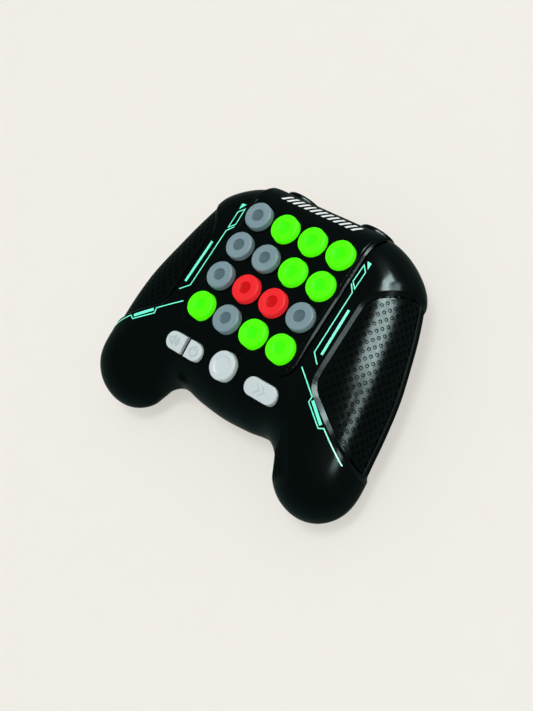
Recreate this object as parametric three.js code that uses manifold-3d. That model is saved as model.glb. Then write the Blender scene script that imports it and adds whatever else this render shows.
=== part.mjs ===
// Electronic reflex game: a two-handled hand-held body with a 4 by 4 grid of light buttons,
// four control buttons in front of it, two round knob buttons at the rear, textured side grips,
// and the boards, rubber mats, speaker and battery box inside.
// Millimetres. X is to the right, Y to the rear, Z up. The floor is Z = 0.
// Sizes are worked out about the middle of the button grid; the last lines centre the whole.
import * as THREE from "three";
import Module from "manifold-3d";
import { mergeVertices } from "three/addons/utils/BufferGeometryUtils.js";

const wasm = await Module();
wasm.setup();

// Body seen from above
const bodyHalfWidth = 77.6;
const rearReach = 44;
const frontReach = 61.5;
const handleCentreX = 56.5;
const handleCentreY = -60.6;
const handleRadius = 20.3;
const crotchX = 28.3;
const crotchReach = 59.2;
const rimSteps = 56;

// Body seen from the side
const topHeight = 43.8;
const rimHeight = 22;
const rimSlope = 0.085;
const rimRound = 20;
const rearRound = 15;
const bellyHeight = 5;
const handleBottomHeight = 0.3;
const apronStart = 27;
const apronBlend = 3;
const apronSlope = 0.14;
const wall = 3;
const partingGap = 0.3;
const clearance = 0.3;
const ringSteps = 5;
const innerRingSteps = 3;
const coreHalfWidth = 28;
const coreFront = 26;
const coreRear = 14;
const overrun = 60;
const keyDepth = 9;
const cutOverlap = 1;

// Front panel, which wraps over the rear edge
const panelHalfWidth = 33.9;
const panelFrontReach = 34.2;
const panelCorner = 7;
const panelRise = 0.7;
const panelThickness = 1.8;
const panelWrapHeight = 36.2;
const panelLedge = 2.7;

// Light buttons
const gridCount = 4;
const gridPitch = 16;
const lightRadius = 6.55;
const lightRise = 3.5;
const lightChamfer = 0.85;
const lightDimpleRadius = 2.85;
const lightDimpleDepth = 0.5;
const lightTravel = 1.2;
const flangeOverhang = 0.8;
const flangeThickness = 1;

// Control buttons on the sloping front apron
const controlReach = 43.3;
const soundFrom = -33.6;
const soundTo = -23.05;
const powerFrom = -20.75;
const powerTo = -11.85;
const modeFrom = 15.45;
const modeTo = 33.3;
const pillWidth = 8.55;
const pillRise = 1.25;
const startAcross = 1.4;
const startForward = 1.1;
const startRadius = 6.8;
const startRise = 2.3;
const startDishRadius = 4.5;
const startDishDepth = 0.7;
const controlTravel = 1;

// Rubber mats and boards
const matThickness = 1;
const matBumpHeight = 1.2;
const matBumpRadius = 4.4;
const lightMatHalfWidth = 31.4;
const controlMatLength = 66;
const controlMatWidth = 11;
const controlBumpRadius = 2.6;
const controlBumpHeight = 0.6;
const boardThickness = 1.6;
const mainBoardHalfWidth = 38.3;
const mainBoardFront = 30.6;
const mainBoardRear = 33;
const ledSide = 3.2;
const ledHeight = 0.8;
const controlBoardThickness = 1.2;
const controlBoardLength = 80;
const controlBoardWidth = 13;
const boardPostRadius = 2.8;
const boardPostX = 35.1;
const boardPostReach = 24;
const controlPostX = 36.9;

// Screws
const screwShankRadius = 1.2;
const screwHeadRadius = 2.6;
const screwHeadHeight = 1.4;
const boardScrewShankRadius = 0.9;
const boardScrewHeadRadius = 1.9;
const boardScrewHeadHeight = 1.1;
const boardScrewBite = 3.4;
const shellBossRadius = 4;
const topBossRadius = 3.6;
const shellScrewBite = 9;
const rearBossX = 46;
const rearBossY = 28;
const middleBossX = 43.6;
const middleBossY = -18;
const handleBossX = 56.8;
const handleBossY = -60.5;
const bossSeatDepth = 9;

// Rear knob buttons
const knobX = 21.8;
const knobHeight = 25.5;
const knobRadius = 8.8;
const knobRise = 1.3;
const knobThickness = 3;
const knobEdge = 0.9;
const knobDishRadius = 6.2;
const knobDishDepth = 0.6;
const knobTravel = 2;
const knobStemRadius = 3.2;
const knobFlangeRadius = 4.6;
const socketWall = 2.2;
const socketFloor = 2.5;
const stemRun = 8;
const switchBodySide = 6;
const switchBodyHeight = 3;
const switchPlungerRadius = 1.6;
const switchPlungerHeight = 0.8;
const switchBoardWidth = 19;
const switchBoardHeight = 12;
const switchPostRadius = 1.8;
const switchPostSpread = 7.2;
const switchPostDrop = 3.6;

// Side grips
const gripInnerX = 45.6;
const gripRearInnerY = 11.8;
const gripRearOuterX = 62;
const gripRearOuterY = 26.8;
const gripFrontInnerY = -29.7;
const gripFrontOuterX = 75;
const gripFrontOuterY = -50;
const gripCorner = 6;
const gripSink = 0.8;
const gripThickness = 1.2;
const gripLowHeight = 9;

// Battery box, in the belly
const cellRadius = 5.25;
const cellLength = 44.5;
const cellNubRadius = 2.75;
const cellNubLength = 1;
const cellCount = 3;
const cellPitch = 11;
const contactThickness = 0.4;
const contactSpringRadius = 2.2;
const contactSpringLength = 2.5;
const batteryCentreY = 8;
const batterySideRoom = 0.6;
const batteryWall = 2;
const doorLedge = 2;
const doorRim = 1.4;
const doorThickness = 2.8;
const doorScrewSink = 0.6;
const doorTabHalfWidth = 6;
const doorTabLength = 8;
const doorScrewBite = 7;

// Speaker and leads
const speakerRadius = 13;
const speakerHeight = 5;
const speakerMagnetRadius = 8;
const speakerMagnetHeight = 3;
const speakerY = -37;
const speakerBase = 11;
const speakerRingWall = 1.6;
const speakerLip = 1.5;
const slotCount = 5;
const slotPitch = 3.4;
const slotWidth = 1.6;
const slotLength = 15;
const leadRadius = 0.7;
const leadSpread = 4;
const leadMiddleShare = 0.9;
const leadTopShare = 0.8;
const leadSteps = 12;
const leadSideSteps = 3;

// Numbers of sides of round things
const bigSides = 18;
const buttonSides = 12;
const smallSides = 8;
const startSides = 20;
const cornerSteps = 4;
const flatCornerSteps = 2;
const marchSteps = 70;
const weldDistance = 1e-4;

// Places worked out from the sizes above
const screwHoleRadius = screwShankRadius + clearance;
const boardHoleRadius = boardScrewShankRadius + clearance;
const panelTop = topHeight + panelRise;
const panelBottom = panelTop - panelThickness;
const lightTop = panelTop + lightRise;
const lightFlangeTop = panelBottom - clearance;
const lightFlangeBottom = lightFlangeTop - flangeThickness;
const lightBumpTop = lightFlangeBottom - lightTravel - clearance;
const lightMatTop = lightBumpTop - matBumpHeight;
const mainBoardTop = lightMatTop - matThickness - clearance - ledHeight;
const mainBoardBottom = mainBoardTop - boardThickness;
const openingHalf = panelFrontReach - panelLedge + clearance;
const knobFace = rearReach + knobRise;
const knobBack = knobFace - knobThickness;
const socketBack = knobBack - knobTravel - clearance;
const socketInner = socketBack - socketFloor;
const knobFlangeY = socketInner - clearance - flangeThickness;
const switchTipY = knobFlangeY - knobTravel - clearance;
const switchBoardY = switchTipY - switchPlungerHeight - switchBodyHeight;
const batteryHalfWidth = ((cellCount - 1) * cellPitch) / 2 + cellRadius + batterySideRoom;
const batteryHalfLength = cellLength / 2 + contactSpringLength + 2 * contactThickness + 2 * clearance;
const cellHeight = doorThickness + clearance + cellRadius;
const batteryCeiling = cellHeight + cellRadius + batterySideRoom;
const batteryTop = batteryCeiling + batteryWall;
const recessHalfWidth = batteryHalfWidth + doorLedge;
const doorTabFront = batteryCentreY - recessHalfWidth - doorTabLength;
const doorScrewY = doorTabFront + doorTabLength / 2;

// Solids from three.js geometries
function toSolid(geometry) {
  const bare = geometry.clone();
  bare.deleteAttribute("normal");
  bare.deleteAttribute("uv");
  const merged = mergeVertices(bare, weldDistance);
  const index = merged.index.array;
  const kept = [];
  for (let i = 0; i < index.length; i += 3) {
    const [a, b, c] = [index[i], index[i + 1], index[i + 2]];
    if (a !== b && b !== c && c !== a) kept.push(a, b, c);
  }
  const vertProperties = new Float32Array(merged.attributes.position.array);
  return new wasm.Manifold(new wasm.Mesh({ numProp: 3, vertProperties, triVerts: new Uint32Array(kept) }));
}

function toGeometry(solid) {
  const mesh = solid.getMesh();
  const geometry = new THREE.BufferGeometry();
  geometry.setAttribute("position", new THREE.BufferAttribute(new Float32Array(mesh.vertProperties), 3));
  geometry.setIndex(new THREE.BufferAttribute(new Uint32Array(mesh.triVerts), 1));
  geometry.computeVertexNormals();
  return geometry;
}

function box(x0, x1, y0, y1, z0, z1) {
  const geometry = new THREE.BoxGeometry(x1 - x0, y1 - y0, z1 - z0);
  return toSolid(geometry.translate((x0 + x1) / 2, (y0 + y1) / 2, (z0 + z1) / 2));
}

// A round post standing on Z, or lying along Y
function post(x, y, z0, z1, radius, sides = smallSides) {
  const geometry = new THREE.CylinderGeometry(radius, radius, z1 - z0, sides);
  return toSolid(geometry.rotateX(Math.PI / 2).translate(x, y, (z0 + z1) / 2));
}

function rod(x, z, y0, y1, radius, sides = smallSides) {
  const geometry = new THREE.CylinderGeometry(radius, radius, y1 - y0, sides);
  return toSolid(geometry.translate(x, (y0 + y1) / 2, z));
}

// A turned shape about Z from rows of [radius, height]
function turned(rows, sides) {
  const profile = rows.map(([radius, height]) => new THREE.Vector2(radius, height));
  return new THREE.LatheGeometry(profile, sides).rotateX(Math.PI / 2);
}

function prism(shape, z0, z1, curveSegments = cornerSteps) {
  const geometry = new THREE.ExtrudeGeometry(shape, { depth: z1 - z0, bevelEnabled: false, curveSegments });
  return toSolid(geometry.translate(0, 0, z0));
}

function roundedRectangle(x0, x1, y0, y1, radius) {
  const shape = new THREE.Shape();
  shape.absarc(x1 - radius, y1 - radius, radius, 0, Math.PI / 2);
  shape.absarc(x0 + radius, y1 - radius, radius, Math.PI / 2, Math.PI);
  shape.absarc(x0 + radius, y0 + radius, radius, Math.PI, 1.5 * Math.PI);
  shape.absarc(x1 - radius, y0 + radius, radius, 1.5 * Math.PI, 2 * Math.PI);
  shape.closePath();
  return shape;
}

// Body surface: heights over the plan, rounded over towards the rim by the distance to it
function smoothShare(from, to, value) {
  const share = THREE.MathUtils.clamp((value - from) / (to - from), 0, 1);
  return share * share * (3 - 2 * share);
}

function rimZ(y) {
  return rimHeight + rimSlope * y;
}

function topZ(y) {
  return topHeight - apronSlope * apronBlend * Math.log1p(Math.exp((-apronStart - y) / apronBlend));
}

function bottomZ(x, y) {
  const across = smoothShare(coreHalfWidth, handleCentreX - handleRadius / 2, Math.abs(x));
  const along = smoothShare(0, -handleCentreY, -y);
  return bellyHeight + (handleBottomHeight - bellyHeight) * across * along;
}

// Side of the body as shares: x of the half width, y from the handle centre to the rear
const sideShares = [
  [0.976, 0.18],
  [0.962, 0.29],
  [0.935, 0.427],
  [0.89, 0.56],
  [0.837, 0.694],
  [0.777, 0.809],
  [0.727, 0.877],
  [0.598, 0.952],
  [0.438, 0.997],
  [0.232, 1],
];
const handleFromDegrees = -168;
const handleToDegrees = -8;
const handleArcPoints = 7;
const frontBulgeShare = 0.5;
const frontBulgeReachShare = 0.62;

// Right half of the outline, from the front middle round to the rear middle
function rightOutline() {
  const points = [[0, -frontReach]];
  const bulge = crotchReach + (frontReach - crotchReach) * frontBulgeReachShare;
  points.push([crotchX * frontBulgeShare, -bulge]);
  points.push([crotchX, -crotchReach]);
  for (let i = 0; i < handleArcPoints; i += 1) {
    const share = i / (handleArcPoints - 1);
    const angle = THREE.MathUtils.degToRad(handleFromDegrees + (handleToDegrees - handleFromDegrees) * share);
    const x = handleCentreX + handleRadius * Math.cos(angle);
    points.push([x, handleCentreY + handleRadius * Math.sin(angle)]);
  }
  for (const [across, along] of sideShares) {
    points.push([across * bodyHalfWidth, handleCentreY + along * (rearReach - handleCentreY)]);
  }
  points.push([0, rearReach]);
  return points;
}

function outlineLoop() {
  const right = rightOutline();
  const left = right.slice(1, -1).reverse().map(([x, y]) => [-x, y]);
  const points = right.concat(left).map(([x, y]) => new THREE.Vector3(x, y, 0));
  const curve = new THREE.CatmullRomCurve3(points, true, "centripetal");
  return mirrored(curve.getSpacedPoints(rimSteps).map((point) => [point.x, point.y]));
}

// Repeats the right half of a closed row of points on the left, so that both match exactly
function mirrored(places) {
  return Array.from({ length: rimSteps }, (_, i) => {
    const [x, y] = places[Math.min(i, rimSteps - i)];
    return i % (rimSteps / 2) === 0 ? [0, y] : [i < rimSteps / 2 ? x : -x, y];
  });
}

const rimLoop = outlineLoop().map(([x, y]) => new THREE.Vector2(x, y));

function offsetLoop(offset) {
  return rimLoop.map((point, i) => {
    const before = rimLoop[(i + rimSteps - 1) % rimSteps];
    const after = rimLoop[(i + 1) % rimSteps];
    const along = after.clone().sub(before).normalize();
    return new THREE.Vector2(point.x + offset * along.y, point.y - offset * along.x);
  });
}

function distanceToLoop(x, y, loop) {
  let least = Infinity;
  for (let i = 0; i < loop.length; i += 1) {
    const a = loop[i];
    const b = loop[(i + 1) % loop.length];
    const dx = b.x - a.x;
    const dy = b.y - a.y;
    const share = THREE.MathUtils.clamp(((x - a.x) * dx + (y - a.y) * dy) / (dx * dx + dy * dy), 0, 1);
    least = Math.min(least, Math.hypot(x - a.x - share * dx, y - a.y - share * dy));
  }
  return least;
}

// How far in from the rim the surface levels out; the rear edge is rounded more tightly
function roundAt(x, y) {
  const rearward = smoothShare(0, rearReach - rearRound, y);
  const middle = 1 - smoothShare(panelHalfWidth, bodyHalfWidth, Math.abs(x));
  return rimRound + (rearRound - rimRound) * rearward * middle;
}

// Plan points of each ring: lines of equal distance from the rim, then the flat core
function ringPoints(loop, offset, steps) {
  const rings = Array.from({ length: steps + 2 }, () => []);
  loop.slice(0, rimSteps / 2 + 1).forEach((rim) => {
    const coreX = THREE.MathUtils.clamp(rim.x, -coreHalfWidth, coreHalfWidth);
    const coreY = THREE.MathUtils.clamp(rim.y, -coreFront, coreRear);
    const march = [];
    for (let k = 0; k <= marchSteps; k += 1) {
      const x = rim.x + ((coreX - rim.x) * k) / marchSteps;
      const y = rim.y + ((coreY - rim.y) * k) / marchSteps;
      march.push([x, y, k === 0 ? 0 : distanceToLoop(x, y, loop)]);
    }
    const round = roundAt(rim.x, rim.y) + offset;
    let last = 0;
    for (let j = 0; j <= steps; j += 1) {
      const wanted = round * (1 - Math.cos((j / steps) * (Math.PI / 2)));
      let k = last;
      while (k < marchSteps && march[k + 1][2] < wanted) k += 1;
      const [xa, ya, da] = march[k];
      const [xb, yb, db] = march[Math.min(k + 1, marchSteps)];
      const share = db > da ? THREE.MathUtils.clamp((wanted - da) / (db - da), 0, 1) : 1;
      rings[j].push([xa + (xb - xa) * share, ya + (yb - ya) * share]);
      last = k;
    }
    rings[steps + 1].push([coreX, coreY]);
  });
  return rings.map(mirrored);
}

// The whole body, grown by an offset or shrunk by a negative one
function bodySolid(offset, steps = ringSteps) {
  const loop = offsetLoop(offset);
  const rings = ringPoints(loop, offset, steps);
  const count = loop.length;
  const positions = [];
  const triangles = [];
  const rise = (x, y) => {
    const share = 1 - Math.min(distanceToLoop(x, y, loop) / (roundAt(x, y) + offset), 1);
    return Math.sqrt(1 - share * share);
  };
  const addSide = (surfaceZ, upward) => {
    const start = positions.length / 3;
    rings.forEach((ring, j) => {
      for (const [x, y] of ring) {
        const height = j === 0 ? 0 : rise(x, y);
        positions.push(x, y, rimZ(y) + (surfaceZ(x, y) - rimZ(y)) * height);
      }
    });
    const middleY = (coreRear - coreFront) / 2;
    positions.push(0, middleY, surfaceZ(0, middleY));
    const middle = positions.length / 3 - 1;
    const face = (a, b, c) => triangles.push(...(upward ? [a, b, c] : [a, c, b]));
    for (let i = 0; i < count; i += 1) {
      const next = (i + 1) % count;
      for (let j = 0; j < rings.length - 1; j += 1) {
        const outer = start + j * count;
        const inner = outer + count;
        const diagonal = i < count / 2 ? [outer + i, inner + next] : [outer + next, inner + i];
        face(outer + i, outer + next, diagonal[1]);
        face(diagonal[0], inner + next, inner + i);
      }
      const core = start + (rings.length - 1) * count;
      face(core + i, core + next, middle);
    }
  };
  addSide((x, y) => topZ(y) + offset, true);
  addSide((x, y) => bottomZ(x, y) - offset, false);
  const geometry = new THREE.BufferGeometry();
  geometry.setAttribute("position", new THREE.BufferAttribute(new Float32Array(positions), 3));
  geometry.setIndex(triangles);
  return toSolid(geometry);
}

// Everything above or below the parting plane, which tilts with the rim
function partingSide(direction) {
  const size = 4 * bodyHalfWidth;
  const geometry = new THREE.BoxGeometry(size, size, size);
  geometry.translate(0, 0, direction * (size / 2 + partingGap / 2));
  geometry.rotateX(Math.atan(rimSlope));
  return toSolid(geometry.translate(0, 0, rimHeight));
}

const body = bodySolid(0);
const innerBody = bodySolid(-wall, innerRingSteps);
const bossLimit = bodySolid(-wall / 3, innerRingSteps);
const shellWalls = body.subtract(innerBody);
const aboveParting = partingSide(1);
const belowParting = partingSide(-1);

// Placing in the tilted frame of the apron: u to the right, v up the slope, w out of it
const apronTilt = Math.atan(apronSlope);
const apronFrame = new THREE.Matrix4()
  .makeRotationX(apronTilt)
  .setPosition(0, -controlReach, topZ(-controlReach));

function onApron(geometry) {
  return toSolid(geometry.clone().applyMatrix4(apronFrame));
}

function apronPrism(shape, w0, w1, curveSegments = cornerSteps) {
  const geometry = new THREE.ExtrudeGeometry(shape, { depth: w1 - w0, bevelEnabled: false, curveSegments });
  return onApron(geometry.translate(0, 0, w0));
}

function apronPost(u, v, w0, w1, radius, sides = smallSides) {
  const geometry = new THREE.CylinderGeometry(radius, radius, w1 - w0, sides);
  return onApron(geometry.rotateX(Math.PI / 2).translate(u, v, (w0 + w1) / 2));
}

// A bar with two round ends; grow widens it all round
function pillShape(from, to, grow) {
  const radius = pillWidth / 2 + grow;
  const shape = new THREE.Shape();
  shape.absarc(to + grow - radius, 0, radius, -Math.PI / 2, Math.PI / 2);
  shape.absarc(from - grow + radius, 0, radius, Math.PI / 2, 1.5 * Math.PI);
  shape.closePath();
  return shape;
}

// Half of the split bar, with its round end to the side given, 1 or -1
function halfPillShape(from, to, side, grow) {
  const radius = pillWidth / 2 + grow;
  const flat = side > 0 ? from : to;
  const tip = side > 0 ? to + grow : from - grow;
  const arcCentre = tip - side * radius;
  const startAngle = (-side * Math.PI) / 2;
  const shape = new THREE.Shape();
  shape.moveTo(flat, -side * radius);
  shape.lineTo(arcCentre, -side * radius);
  shape.absarc(arcCentre, 0, radius, startAngle, startAngle + Math.PI);
  shape.lineTo(flat, side * radius);
  shape.closePath();
  return shape;
}

const flangeTopW = -wall - clearance;
const flangeBottomW = flangeTopW - flangeThickness;
const controlBumpTopW = flangeBottomW - controlTravel - clearance;
const controlMatTopW = controlBumpTopW - controlBumpHeight;
const controlBoardTopW = controlMatTopW - matThickness - clearance;
const controlBoardBottomW = controlBoardTopW - controlBoardThickness;

// Side grip footprint seen from above; grow widens it all round, side is 1 or -1
function gripShape(side, grow) {
  const outer = bodyHalfWidth + overrun / 2;
  const frontRun = (gripFrontOuterY - gripFrontInnerY) / (gripFrontOuterX - gripInnerX);
  const rearRun = (gripRearOuterY - gripRearInnerY) / (gripRearOuterX - gripInnerX);
  const corners = [
    [gripInnerX - grow, gripFrontInnerY - grow],
    [outer, gripFrontInnerY - grow + frontRun * (outer - gripInnerX)],
    [outer, gripRearInnerY + grow + rearRun * (outer - gripInnerX)],
    [gripInnerX - grow, gripRearInnerY + grow],
  ].map(([x, y]) => new THREE.Vector2(side * x, y));
  const shape = new THREE.Shape();
  const [front, frontOut, rearOut, rear] = corners;
  const back = (corner, towards) => corner.clone().add(towards.clone().sub(corner).setLength(gripCorner));
  const frontA = back(front, rear);
  const frontB = back(front, frontOut);
  const rearA = back(rear, rearOut);
  const rearB = back(rear, front);
  shape.moveTo(frontA.x, frontA.y);
  shape.quadraticCurveTo(front.x, front.y, frontB.x, frontB.y);
  shape.lineTo(frontOut.x, frontOut.y);
  shape.lineTo(rearOut.x, rearOut.y);
  shape.lineTo(rearA.x, rearA.y);
  shape.quadraticCurveTo(rear.x, rear.y, rearB.x, rearB.y);
  shape.closePath();
  return shape;
}

const gripOuter = bodySolid(-gripSink);
const gripInner = bodySolid(-gripSink - gripThickness);
const gripFloor = bodySolid(-gripSink - gripThickness - clearance);
const roofHeight = topHeight + overrun;
const gripLayer = gripOuter.subtract(gripInner);

function gripSolid(side) {
  return gripLayer.intersect(prism(gripShape(side, 0), gripLowHeight, roofHeight));
}

function gripRecess(side) {
  return prism(gripShape(side, clearance), gripLowHeight - clearance, roofHeight).subtract(gripFloor);
}

// Panel: a curved sheet lying in a recess of the top shell
const panelPrism = prism(
  roundedRectangle(-panelHalfWidth, panelHalfWidth, -panelFrontReach, rearReach + overrun, panelCorner),
  panelWrapHeight,
  roofHeight,
);
const panelRecess = prism(
  roundedRectangle(
    -panelHalfWidth - clearance,
    panelHalfWidth + clearance,
    -panelFrontReach - clearance,
    rearReach + overrun,
    panelCorner + clearance,
  ),
  panelWrapHeight - clearance,
  roofHeight,
).subtract(bodySolid(panelRise - panelThickness - clearance));

function gridPlaces() {
  const places = [];
  for (let row = 0; row < gridCount; row += 1) {
    for (let column = 0; column < gridCount; column += 1) {
      const x = (column - (gridCount - 1) / 2) * gridPitch;
      const y = ((gridCount - 1) / 2 - row) * gridPitch;
      places.push({ row: row + 1, column: column + 1, x, y });
    }
  }
  return places;
}

function panelSolid() {
  const sheet = bodySolid(panelRise).subtract(bodySolid(panelRise - panelThickness));
  let panel = sheet.intersect(panelPrism);
  const flangeRadius = lightRadius + flangeOverhang;
  for (const { x, y } of gridPlaces()) {
    const holeTop = panelTop + cutOverlap;
    panel = panel.subtract(post(x, y, lightMatTop, holeTop, lightRadius + clearance, buttonSides));
    if (y + flangeRadius > rearReach - rearRound || y - flangeRadius < -apronStart) {
      panel = panel.subtract(post(x, y, lightMatTop, panelBottom, flangeRadius + clearance, buttonSides));
    }
  }
  return panel;
}

// Screw places in the shells
const shellScrewPlaces = [
  ["rear", rearBossX, rearBossY],
  ["middle", middleBossX, middleBossY],
  ["handle", handleBossX, handleBossY],
];

function outerBottomZ(x, y) {
  const share = 1 - Math.min(distanceToLoop(x, y, rimLoop) / roundAt(x, y), 1);
  return rimZ(y) + (bottomZ(x, y) - rimZ(y)) * Math.sqrt(1 - share * share);
}

function bothSides(make) {
  return make(1).add(make(-1));
}

// Socket that holds a rear knob: a thick ring with a floor, half in each shell
function knobSocket(side) {
  const radius = knobRadius + clearance + socketWall;
  return rod(side * knobX, knobHeight, socketInner, rearReach, radius, bigSides);
}

function knobSpace(side) {
  const far = rearReach + overrun;
  const pocket = rod(side * knobX, knobHeight, socketBack, far, knobRadius + clearance, bigSides);
  const hole = rod(side * knobX, knobHeight, socketInner - stemRun, rearReach, knobStemRadius + clearance);
  return pocket.add(hole);
}

// Hole for a control button, wider below for its flange
function keySpace(make) {
  const hole = make(clearance, -keyDepth, keyDepth);
  return hole.add(make(flangeOverhang + clearance, -keyDepth, flangeTopW + clearance));
}

function topShellSolid() {
  let bosses = bothSides((side) => knobSocket(side));
  for (const [, x, y] of shellScrewPlaces) {
    bosses = bosses.add(bothSides((side) => post(side * x, y, 0, roofHeight, topBossRadius)));
  }
  const boardSeat = mainBoardTop + clearance;
  for (const y of [-boardPostReach, boardPostReach]) {
    bosses = bosses.add(bothSides((side) => post(side * boardPostX, y, boardSeat, roofHeight, boardPostRadius)));
  }
  const keepOut = box(-mainBoardHalfWidth, mainBoardHalfWidth, -mainBoardFront, mainBoardRear, 0, boardSeat);
  bosses = bosses.subtract(keepOut);
  const controlSeat = controlBoardTopW + clearance;
  bosses = bosses.add(
    bothSides((side) => apronPost(side * controlPostX, 0, controlSeat, 0, boardPostRadius)),
  );
  let shell = shellWalls.add(bosses.intersect(bossLimit)).intersect(aboveParting);
  for (const [, x, y] of shellScrewPlaces) {
    const low = rimZ(y) - cutOverlap;
    const high = low + shellScrewBite + 2 * cutOverlap;
    shell = shell.subtract(bothSides((side) => post(side * x, y, low, high, screwHoleRadius)));
  }
  const screwTop = boardSeat + boardScrewBite;
  for (const y of [-boardPostReach, boardPostReach]) {
    const holes = bothSides((side) => post(side * boardPostX, y, mainBoardTop, screwTop, boardHoleRadius));
    shell = shell.subtract(holes);
  }
  const controlScrewTop = controlSeat + boardScrewBite;
  shell = shell.subtract(
    bothSides((side) => apronPost(side * controlPostX, 0, controlBoardTopW, controlScrewTop, boardHoleRadius)),
  );
  const opening = roundedRectangle(-openingHalf, openingHalf, -openingHalf, openingHalf, panelCorner);
  shell = shell.subtract(prism(opening, lightMatTop, roofHeight));
  shell = shell.subtract(panelRecess);
  shell = shell.subtract(bothSides(gripRecess));
  shell = shell.subtract(bothSides(knobSpace));
  for (const [from, to] of [[soundFrom, powerTo], [modeFrom, modeTo]]) {
    shell = shell.subtract(keySpace((grow, w0, w1) => apronPrism(pillShape(from, to, grow), w0, w1)));
  }
  return shell.subtract(
    keySpace((grow, w0, w1) => apronPost(startAcross, startForward, w0, w1, startRadius + grow, startSides)),
  );
}

// Battery box: walls and ceiling moulded in the belly, open below for the door
function batteryBox(grow, low, high, tab) {
  const halfLength = batteryHalfLength + grow;
  const halfWidth = batteryHalfWidth + grow;
  const main = box(-halfLength, halfLength, batteryCentreY - halfWidth, batteryCentreY + halfWidth, low, high);
  if (!tab) return main;
  const half = doorTabHalfWidth + grow - doorLedge;
  return main.add(box(-half, half, doorTabFront - grow + doorLedge, batteryCentreY, low, high));
}

function bottomShellSolid() {
  let bosses = bothSides((side) => knobSocket(side));
  for (const [, x, y] of shellScrewPlaces) {
    bosses = bosses.add(bothSides((side) => post(side * x, y, -cutOverlap, roofHeight, shellBossRadius)));
  }
  const switchPostZ = knobHeight - switchPostDrop;
  const switchSeat = switchBoardY + clearance;
  for (const offset of [-switchPostSpread, switchPostSpread]) {
    bosses = bosses.add(
      bothSides((side) => rod(side * knobX + offset, switchPostZ, switchSeat, socketBack, switchPostRadius)),
    );
  }
  const speakerRoom = speakerRadius + clearance;
  const speakerSeat = speakerBase - clearance;
  const ring = post(0, speakerY, 0, speakerBase + speakerLip, speakerRoom + speakerRingWall, bigSides)
    .subtract(post(0, speakerY, -cutOverlap, roofHeight, speakerRadius - speakerRingWall, bigSides))
    .subtract(post(0, speakerY, speakerSeat, roofHeight, speakerRoom, bigSides));
  bosses = bosses.add(ring);
  let shell = shellWalls.add(bosses.intersect(bossLimit)).intersect(belowParting);
  shell = shell.add(batteryBox(doorLedge + doorRim, 0, batteryTop, true));
  shell = shell.subtract(batteryBox(0, -cutOverlap, batteryCeiling, false));
  shell = shell.subtract(batteryBox(doorLedge, -cutOverlap, doorThickness + clearance, true));
  const doorHoleTop = doorThickness + doorScrewBite + cutOverlap;
  shell = shell.subtract(post(0, doorScrewY, 0, doorHoleTop, screwHoleRadius));
  for (const [, x, y] of shellScrewPlaces) {
    const seat = outerBottomZ(x, y) + bossSeatDepth;
    const headRoom = screwHeadRadius + clearance;
    shell = shell.subtract(bothSides((side) => post(side * x, y, -cutOverlap, seat, headRoom, buttonSides)));
    shell = shell.subtract(bothSides((side) => post(side * x, y, 0, roofHeight, screwHoleRadius)));
  }
  for (let i = 0; i < slotCount; i += 1) {
    const x = (i - (slotCount - 1) / 2) * slotPitch;
    const half = slotLength / 2;
    const slotTop = bellyHeight + wall + cutOverlap;
    shell = shell.subtract(
      box(x - slotWidth / 2, x + slotWidth / 2, speakerY - half, speakerY + half, -cutOverlap, slotTop),
    );
  }
  shell = shell.subtract(bothSides(gripRecess));
  return shell.subtract(bothSides(knobSpace));
}

// Pieces
const game = new THREE.Group();

function addPiece(name, shape, color, roughness, metalness = 0) {
  const geometry = shape.isBufferGeometry ? shape : toGeometry(shape);
  const material = new THREE.MeshStandardMaterial({ color, roughness, metalness });
  const mesh = new THREE.Mesh(geometry, material);
  mesh.name = name;
  game.add(mesh);
  return mesh;
}

addPiece("top_shell", topShellSolid(), 0x0a0f0f, 0.35);
addPiece("bottom_shell", bottomShellSolid(), 0x0a0f0f, 0.4);
addPiece("button_panel", panelSolid(), 0x060a0a, 0.2);
addPiece("right_grip", gripSolid(1), 0x0c1010, 0.6);
addPiece("left_grip", gripSolid(-1), 0x0c1010, 0.6);

// Light buttons: a lit one is green or red, an unlit one is grey
const lampColors = { green: 0x50f80a, red: 0xf02d32, grey: 0x8da9a7 };
const lampRows = [
  ["grey", "green", "green", "green"],
  ["grey", "grey", "green", "green"],
  ["grey", "red", "red", "grey"],
  ["green", "grey", "green", "green"],
];
const lightProfile = [
  [0, lightFlangeBottom - lightTop],
  [lightRadius + flangeOverhang, lightFlangeBottom - lightTop],
  [lightRadius + flangeOverhang, lightFlangeTop - lightTop],
  [lightRadius, lightFlangeTop - lightTop],
  [lightRadius, -lightChamfer],
  [lightRadius - lightChamfer, 0],
  [lightDimpleRadius, 0],
  [lightDimpleRadius - lightDimpleDepth, -lightDimpleDepth],
  [0, -lightDimpleDepth],
];
const lightGeometry = turned(lightProfile, buttonSides);
for (const { row, column, x, y } of gridPlaces()) {
  const color = lampColors[lampRows[row - 1][column - 1]] ?? lampColors.grey;
  addPiece(`light_button_r${row}c${column}`, lightGeometry, color, 0.45).position.set(x, y, lightTop);
}

// Control buttons: a cap with a wider flange at its foot
function flangedButton(shapeAt) {
  const cap = apronPrism(shapeAt(0), flangeBottomW, pillRise);
  return cap.add(apronPrism(shapeAt(flangeOverhang), flangeBottomW, flangeTopW));
}

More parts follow.
